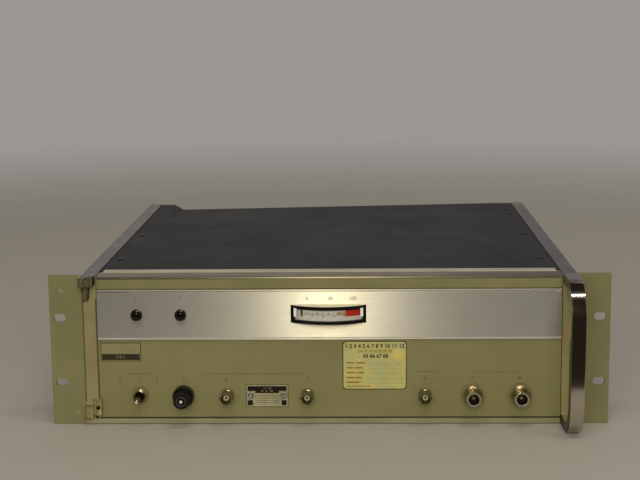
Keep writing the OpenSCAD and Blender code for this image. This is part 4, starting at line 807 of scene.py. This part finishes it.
middleZ = lambda node: (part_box(node)[0].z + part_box(node)[1].z) / 2
fuseX, fuseZ = middleX("fuse_cap"), middleZ("fuse_cap")
switchX, switchZ = middleX("toggle_nut"), middleZ("toggle_nut")
fromAxis = lambda face, x, z: math.hypot(face.center.x - x, face.center.z - z)
inward = lambda face, x, z: Vector((face.center.x - x, 0, face.center.z - z)).dot(face.normal) < 0
recoat(dressed["fuse_cartridge"], brightNickel,
       lambda face: not fuseEnds[0] < face.center.y / mm < fuseEnds[1])
switchLook = {"tipMm": 2.5, "mouthMm": 4.9}
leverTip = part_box("toggle_lever")[0].y + switchLook["tipMm"] * mm
# painted highlight: the end face of the lever's tip in pale nickel
recoat(dressed["toggle_lever"], paleNickelAndGlint,
       lambda face: face.normal.y < -squarely and face.center.y < leverTip)
recoat(dressed["toggle_body"], mouthTarnish,
       lambda face: fromAxis(face, switchX, switchZ) < switchLook["mouthMm"] * mm)
windowLook = {"frostedMm": 0.5}         # the uppermost edge is frosted, the other level faces are black
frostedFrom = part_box("meter_window")[1].z - windowLook["frostedMm"] * mm
recoat(dressed["meter_window"], blackPhenolic, lambda face: abs(face.normal.z) > mostly)
recoat(dressed["meter_window"], frostedAcrylic,
       lambda face: face.normal.z > mostly and face.center.z > frostedFrom)
# jacks: bright noses, olive-toned flanges, painted shade in the larger bores, on the small contact tips and
# rims;
# the small bores are tarnished
jackLook = {"noseMm": 12.1, "flangeMm": {"n": 3.3, "b": 1.3}, "floorMm": (2.0, 6.0), "rimMm": 0.6,
            "largeX": 100 * mm}
largeJack = lambda face: face.center.x > jackLook["largeX"]
recoat(dressed["jack_insulators"], boreShade, largeJack)
recoat(dressed["jack_contacts"], agedNickel, largeJack)
recoat(dressed["jack_contacts"], boreShade,
       lambda face: not largeJack(face) and face.normal.y < -partly)
for jack in ("n_jack_input", "n_jack_output", "bnc_jack_left", "bnc_jack_middle", "bnc_jack_right"):
    x, z, front, large = middleX(jack), middleZ(jack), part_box(jack)[0].y, jack.startswith("n_")
    flangeFrom, noseTo = panelFace - jackLook["flangeMm"][jack[0]] * mm, panelFace - jackLook["noseMm"] * mm
    recoat(dressed[jack], oliveNickel, lambda face: face.center.y > flangeFrom)
    if large:
        recoat(dressed[jack], brightNickel, lambda face: face.center.y < noseTo)
    else:
        # painted shade: the small jacks' front rims in dark olive
        recoat(dressed[jack], edgeShade,
               lambda face: face.normal.y < -partly and face.center.y < front + jackLook["rimMm"] * mm)
    floorFrom, floorTo = [front + depth * mm for depth in jackLook["floorMm"]]
    inBore = lambda face: inward(face, x, z) and abs(face.normal.y) < partly
    onFloor = lambda face: face.normal.y < -mostly and floorFrom < face.center.y < floorTo
    recoat(dressed[jack], boreShade if large else boreTarnish,
           lambda face: face.center.y < panelFace and (inBore(face) or onFloor(face)))
print("fittings dressed")

# inner works keep their CAD shapes
innerFinish = {
    "standby_lamp_holder": blackPhenolic, "power_lamp_holder": blackPhenolic, "meter_housing": blackPhenolic,
    "meter_movement": zincSteel, "chassis_deck": chromateSheet, "transformer_core": siliconSteel,
    "transformer_coil": varnishedPaper, "filter_capacitors": canAluminium, "helix_supply_can": canAluminium,
    "regulator_board": epoxyBoard, "tube_barrel": tubeNickel, "tube_cooler": canAluminium,
    "tube_cradles": chromateSheet, "rf_input_line": thinGold, "rf_output_line": thinGold,
    "fan_housing": fanCasting}
for node, finish in innerFinish.items():
    for place in nodes[node].material_slots:
        place.material = finish
print("inner works coated")


# screw threads: a ridge wound round a barrel, its root sunk in the metal
threadForm = {"rootShare": 0.48, "steps": 32, "smoothDeg": 35}


def threadRidge(x, z, thread):
    pitch, root = thread["pitchMm"] * mm, thread["rootMm"] * mm
    half = thread["pitchMm"] * threadForm["rootShare"] * mm
    ridge = added(bpy.ops.mesh.primitive_circle_add, vertices=3, radius=pitch, fill_type="NOTHING")
    corners = [(thread["crestMm"] * mm, 0, 0), (root, half, 0), (root, -half, 0)]
    for vertex, corner in zip(ridge.data.vertices, corners):
        vertex.co = corner
    wind = ridge.modifiers.new("wind", "SCREW")
    wind.axis, wind.angle, wind.screw_offset, wind.iterations = "Y", 2 * math.pi, pitch, thread["turns"]
    wind.steps = wind.render_steps = threadForm["steps"]
    applyAll(ridge)
    setMode("EDIT")
    bpy.ops.mesh.select_mode(type="EDGE")
    bpy.ops.mesh.select_all(action="DESELECT")
    bpy.ops.mesh.select_non_manifold()
    bpy.ops.mesh.fill_holes(sides=0)
    bpy.ops.mesh.select_all(action="SELECT")
    bpy.ops.transform.translate(value=(x, panelFace - thread["frontMm"] * mm, z))
    setMode("OBJECT")
    faceOut(ridge)
    bpy.ops.object.shade_smooth_by_angle(angle=math.radians(threadForm["smoothDeg"]))
    return ridge


jackThread = {"rootMm": 7.7, "crestMm": 8.25, "pitchMm": 1.06, "turns": 7, "frontMm": 11.6}
firstThread = threadRidge(middleX("n_jack_input"), middleZ("n_jack_input"), jackThread)
secondThread = movedCopy(firstThread, ((middleX("n_jack_output") - middleX("n_jack_input")) / mm, 0, 0))
settle(firstThread, "input_jack_thread", thinGold)
settle(secondThread, "output_jack_thread", thinGold)
switchThread = {"rootMm": 5.1, "crestMm": 5.5, "pitchMm": 0.8, "turns": 5, "frontMm": 6.2}
settle(threadRidge(switchX, switchZ, switchThread), "switch_bushing_thread", agedNickel)

# rivet and moulded ring on the fuse cap's end; the rivet's pale finish is a painted glint
capEnd = (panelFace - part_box("fuse_cap")[0].y) / mm
capRivet = {"rings": [(-0.6, 1.35), (0.35, 1.35), (0.6, 1.2), (0.75, 0.75), (0.8, 0.25)], "sides": 32,
            "edgeMm": 0.05}
capRing = {"rings": [(-0.3, 4.4), (0.25, 4.4), (0.35, 4.25), (0.35, 3.75), (0.08, 3.5)], "sides": 48,
           "edgeMm": 0.05, "ridgeMm": 3.6}
for spec, name, slot, finish in ((capRivet, "fuse_cap_rivet", "nickel", paleNickelAndGlint),
                                 (capRing, "fuse_cap_ring", "black_plastic", blackPhenolic)):
    rings = [(capEnd + out, radius) for out, radius in spec["rings"]]
    piece = turnedPiece(fuseX, fuseZ, rings, spec["sides"])
    softEdges(piece, spec["edgeMm"])
    settle(piece, name, finish, bodyOf["fuse_cap"])
# the ring, made last, is scuffed on its ridge
recoat(piece, scuffedPhenolic, lambda face: fromAxis(face, fuseX, fuseZ) > capRing["ridgeMm"] * mm)

# the fuse's wire, inside its glass
wire = turnedPiece(fuseX, fuseZ, [(panelFace / mm - y, fuseTube["wireMm"]) for y in reversed(fuseEnds)],
                   fuseTube["wireSides"])
settle(wire, "fuse_wire", zincSteel, bodyOf["fuse_cartridge"])

# shoulders of the small jacks, with a chamfer that answers the lamp overhead
jackShoulder = {"rings": [(0.9, 5.4), (5.2, 5.4), (5.9, 4.7)], "edgeMm": 0.06, "sides": 48}
firstShoulder = turnedPiece(middleX("bnc_jack_left"), middleZ("bnc_jack_left"), jackShoulder["rings"],
                            jackShoulder["sides"])
coat(firstShoulder, agedNickel)
softEdges(firstShoulder, jackShoulder["edgeMm"])
for name in ("middle", "right"):
    twin = movedCopy(firstShoulder, ((middleX("bnc_jack_" + name) - middleX("bnc_jack_left")) / mm, 0, 0))
    settle(twin, name + "_jack_shoulder")
settle(firstShoulder, "left_jack_shoulder")
print("threads cut")

# meter face: marks wrapped on the curved scale
meterMark = {"pivotMm": 45.0, "sides": 2880, "liftMm": 0.06, "rootMm": 0.03, "spanDeg": 26.0,
             "minorDeg": 2.08, "majorDeg": 5.2, "lineMm": 0.28, "majorShare": 0.75, "minorZ": (98.3, 99.5),
             "majorZ": (98.3, 100.4), "lineZ": (98.05, 98.3)}
meterNumber = {"count": 6, "step": 20, "z": 96.8, "sizeMm": 2.1, "thickMm": 0.04, "liftMm": 0.02}
pivotY = panelFace + meterMark["pivotMm"] * mm
scaleRadius, maskRadius = [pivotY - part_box(node)[0].y for node in ("meter_scale", "meter_mask")]


def wrappedMarks(z0, z1, keep, radius=scaleRadius):
    # a thin band round the pointer's pivot, of which only the wanted slices stay
    band = fixPlace(added(bpy.ops.mesh.primitive_cylinder_add, vertices=meterMark["sides"],
                          radius=radius + meterMark["liftMm"] * mm, depth=(z1 - z0) * mm,
                          end_fill_type="NOTHING", location=(0, pivotY, (z0 + z1) / 2 * mm)))
    angle = lambda face: math.degrees(math.atan2(face.center.x, pivotY - face.center.y))
    pickFaces(band, lambda face: not keep(angle(face)))
    bpy.ops.mesh.delete(type="FACE")
    setMode("OBJECT")
    wall = band.modifiers.new("ink", "SOLIDIFY")
    wall.thickness, wall.offset = (meterMark["liftMm"] + meterMark["rootMm"]) * mm, -1
    applyAll(band)
    return band


lineDeg = math.degrees(meterMark["lineMm"] * mm / scaleRadius)
inSpan = lambda angle: abs(angle) < meterMark["spanDeg"] + lineDeg
offTick = lambda angle, step: abs((angle + meterMark["spanDeg"] + step / 2) % step - step / 2)
onMinor = lambda angle: inSpan(angle) and offTick(angle, meterMark["minorDeg"]) < lineDeg / 2
majorDeg = lineDeg * meterMark["majorShare"]
onMajor = lambda angle: inSpan(angle) and offTick(angle, meterMark["majorDeg"]) < majorDeg
ticks = joined([wrappedMarks(*meterMark["minorZ"], onMinor), wrappedMarks(*meterMark["majorZ"], onMajor),
                wrappedMarks(*meterMark["lineZ"], inSpan)])
settle(ticks, "meter_ticks", blackInk)
numbers = []
for count in range(meterNumber["count"]):
    text = inkText(str(count * meterNumber["step"]), meterNumber["sizeMm"], meterNumber["thickMm"],
                   rotation=(math.pi / 2, 0, 0))
    turn = math.radians(-meterMark["spanDeg"] + count * meterMark["spanDeg"] * 2 / (meterNumber["count"] - 1))
    text.data.transform(Matrix.Translation((0, pivotY, meterNumber["z"] * mm)) @ Matrix.Rotation(turn, 4, "Z")
                        @ Matrix.Translation((0, -scaleRadius - meterNumber["liftMm"] * mm, 0)))
    numbers.append(text)
settle(joined(numbers), "meter_numerals", blackInk)
meterZones = {
    "meter_red_zone": {"z": (96.4, 101.9), "deg": (16.8, 34.0), "radius": scaleRadius, "finish": redInk},
    "meter_faded_zone": {"z": (97.6, 100.6), "deg": (8.0, 16.8), "radius": scaleRadius, "finish": orangeInk},
    "meter_white_ends": {"z": (96.0, 103.6), "deg": (29.8, 32.6), "radius": maskRadius, "finish": whiteInk,
                         "bothEnds": True}}
for name, zone in meterZones.items():
    inZone = lambda angle: zone["deg"][0] < (abs(angle) if "bothEnds" in zone else angle) < zone["deg"][1]
    settle(wrappedMarks(*zone["z"], inZone, zone["radius"]), name, zone["finish"])
print("meter face printed")

# printed plates and labels: plain rules and numbers only
inkMm = 0.05
plates = ("data_plate", "property_tag", "paper_label")
corners = {node: [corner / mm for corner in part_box(node)] for node in plates}
faceOf = {node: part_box(node)[0].y for node in plates}

# data plate: a black band over two black squares, with fine rules between them
plateArt = {"rimMm": 1.0, "bandMm": 4.3, "stepMm": 6.2, "squareMm": (4.4, 4.6), "ruleInset": 7.6,
            "ruleMm": 0.3, "rules": (3.4, 5.4, 7.4, 9.4), "numbersX": -53.9, "numbersMm": 1.4,
            "numbers": (("115   230", 2.0), ("50   60   400", 4.4))}
low, high = corners["data_plate"]
rim, (squareW, squareH) = plateArt["rimMm"], plateArt["squareMm"]
bandTop, bandFoot = high.z - rim, high.z - rim - plateArt["bandMm"]
ruleFrom, ruleTo = low.x + plateArt["ruleInset"], high.x - plateArt["ruleInset"]
bars = [(low.x + rim, bandFoot, high.x - rim, bandTop),
        (ruleFrom, bandTop - plateArt["stepMm"], ruleTo, bandFoot),
        (low.x + rim, low.z + rim, low.x + rim + squareW, low.z + rim + squareH),
        (high.x - rim - squareW, low.z + rim, high.x - rim, low.z + rim + squareH)]
bars += [(ruleFrom, low.z + rise, ruleTo, low.z + rise + plateArt["ruleMm"]) for rise in plateArt["rules"]]
settle(printedBars(bars, faceOf["data_plate"], inkMm), "data_plate_enamel", plateEnamel)
marks = [(words, plateArt["numbersX"], bandTop - drop, plateArt["numbersMm"])
         for words, drop in plateArt["numbers"]]
settle(printedNumbers(marks, faceOf["data_plate"] - inkMm * mm, inkMm), "data_plate_numbers",
       etchedPlate)
plateOut = (panelFace - faceOf["data_plate"]) / mm
# painted shade: a dark ring round each plate screw's head and a dark shadow round each washer
washer = {"insetMm": 3.8, "sinkMm": 0.2, "sides": 40,
          "stack": (("shadow", 3.8, 0.08, plateEnamel), ("washer", 3.4, 0.2, paleNickelAndGlint),
                    ("seat", 2.85, 0.24, plateEnamel))}
for name, radius, rise, finish in washer["stack"]:
    disc = turnedPiece((low.x + washer["insetMm"]) * mm, (low.z + high.z) / 2 * mm,
                       [(plateOut - washer["sinkMm"], radius), (plateOut + rise, radius)], washer["sides"])
    twin = movedCopy(disc, (high.x - low.x - 2 * washer["insetMm"], 0, 0))
    settle(disc, "data_plate_left_" + name, finish)
    settle(twin, "data_plate_right_" + name, finish)

# property tag: a dark band along its foot with a number left bare, faint rules above
tagArt = {"bandMm": 5.4, "rimMm": 0.5, "rules": (9.0, 11.6), "ruleInset": 4.0, "ruleMm": 0.5, "numberMm": 2.6}
low, high = corners["property_tag"]
foot, tagFace = low.z + tagArt["rimMm"], faceOf["property_tag"]
band = [(low.x + tagArt["rimMm"], foot, high.x - tagArt["rimMm"], foot + tagArt["bandMm"])]
settle(printedBars(band, tagFace, inkMm), "property_tag_ink", tagInk)
ruleFrom, ruleTo = low.x + tagArt["ruleInset"], high.x - tagArt["ruleInset"]
bars = [(ruleFrom, low.z + rise, ruleTo, low.z + rise + tagArt["ruleMm"]) for rise in tagArt["rules"]]
settle(printedBars(bars, tagFace, inkMm), "property_tag_rules", tagRule)
marks = [("0 0 1", (low.x + high.x) / 2, foot + tagArt["bandMm"] / 2, tagArt["numberMm"])]
settle(printedNumbers(marks, tagFace - inkMm * mm, inkMm), "property_tag_number", foilTag)

# paper label: rows of plain numbers over five ruled lines to write on
labelArt = {"rows": (54.5, 50.1, 45.8, 41.3, 37.2), "ruleX": (33.6, 63.0), "ruleMm": 0.4, "ruleDropMm": 1.3,
            "startX": 15.2, "words": ((7.5, 7.6), (6.0, 7.0), (8.0, 6.0), (6.5, 5.6), (11.0,)), "gapMm": 1.2,
            "startMm": 1.5, "boldMm": 0.17, "footX": (15.2, 36.0), "footZ": 33.7, "footMm": 0.8,
            "months": (39.6, 69.2, 3.4), "days": (39.6, 64.8, 2.3), "years": (40.4, 60.4, 3.1)}
labelFace, bold = faceOf["paper_label"], labelArt["boldMm"]
lineAt = lambda x0, x1, z, highMm: (x0, z - highMm / 2, x1, z + highMm / 2)
bars = [lineAt(*labelArt["footX"], labelArt["footZ"], labelArt["footMm"])]
for z, words in zip(labelArt["rows"], labelArt["words"]):
    x = labelArt["startX"]
    for wide in words:
        bars.append(lineAt(x, x + wide, z, labelArt["startMm"]))
        x += wide + labelArt["gapMm"]
months, days, years = [(" ".join(str(number) for number in numbers),) + labelArt[name]
                       for name, numbers in (("months", range(1, 13)), ("days", range(2, 31, 4)),
                                             ("years", range(65, 69)))]
rules = [(labelArt["ruleX"][0], z - labelArt["ruleDropMm"],
          labelArt["ruleX"][1], z - labelArt["ruleDropMm"] + labelArt["ruleMm"]) for z in labelArt["rows"]]
settle(printedNumbers([months, years], labelFace, inkMm, boldMm=bold), "paper_label_ink",
       labelInk)
settle(joined([printedNumbers([days], labelFace, inkMm, boldMm=bold), printedBars(bars, labelFace, inkMm)]),
       "paper_label_rows", rowInk)
settle(printedBars(rules, labelFace, inkMm), "paper_label_rules", ruleInk)

# painted shadow: a thin dark border on the enamel round everything that lies on it
border = {"thickMm": 0.04, "growMm": {"trim_band": (0.2, 1.8), "paper_label": (0.9, 0.9),
                                      "property_tag": (0.7, 0.7), "data_plate": (0.5, 0.5),
                                      "toggle_nut": (0.35, 0.35)}}
for node, (growX, growZ) in border["growMm"].items():
    low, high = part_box(node)
    size, centre = high - low, (low + high) / 2
    centre.y = panelFace
    share = [(size.x + 2 * growX * mm) / size.x, border["thickMm"] * mm / size.y,
             (size.z + 2 * growZ * mm) / size.z, 1]
    piece = mergedCopy(node)
    piece.data.transform(Matrix.Translation(centre) @ Matrix.Diagonal(share) @ Matrix.Translation(-centre))
    settle(piece, node + "_painted_shadow", edgeShade)
# painted shade: dark lines down both edges of the left pillar
pillarShade = {"spansX": ((-212.5, -211.6), (-201.3, -200.4)), "z": (20.0, 112.0), "thickMm": 0.03}
bars = [(x0, pillarShade["z"][0], x1, pillarShade["z"][1]) for x0, x1 in pillarShade["spansX"]]
settle(printedBars(bars, panelFace, pillarShade["thickMm"]), "left_pillar_painted_shadow",
       edgeShade)

# panel legends: numbers as (words, x, z) and thin brackets beside the controls
legend = {"highMm": 3.1, "rearMm": 4.0, "inkMm": 0.03,
          "panel": [("0", -182.1, 40.3), ("1", -165.5, 40.3), ("2", -149.8, 40.3), ("3", -126.7, 40.3),
                    ("4", -89.6, 39.4), ("5", -19.0, 40.4), ("6", 82.9, 40.4), ("7", 123.7, 40.3),
                    ("8", 164.6, 40.6)],
          "bars": [(-109.6, 44.5, -21.0, 44.8), (74.3, 46.3, 95.8, 46.6), (-178.0, 45.2, -153.5, 45.5),
                   (123.5, 45.8, 164.5, 46.1)],
          "band": [("1", -166.3, 111.9), ("2", -127.5, 111.9), ("0", -18.3, 111.8), ("50", 1.4, 111.8),
                   ("100", 21.0, 111.8)],
          "rear": [("115", -90.0, 62.0), ("230", -90.0, 28.0)]}
panelMarks, bandMarks, rearMarks = [
    [mark + (legend[high],) for mark in legend[side]]
    for side, high in (("panel", "highMm"), ("band", "highMm"), ("rear", "rearMm"))]
art = joined([printedNumbers(panelMarks, panelFace, legend["inkMm"]),
              printedBars(legend["bars"], panelFace, legend["inkMm"])])
settle(art, "panel_legends", panelInk)
settle(printedNumbers(bandMarks, bandFace, legend["inkMm"]), "band_legends", bandInk)
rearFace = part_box("rear_panel")[1].y
settle(printedNumbers(rearMarks, rearFace, legend["inkMm"], turned=180.0), "rear_legends",
       blackInk)
print("legends printed")
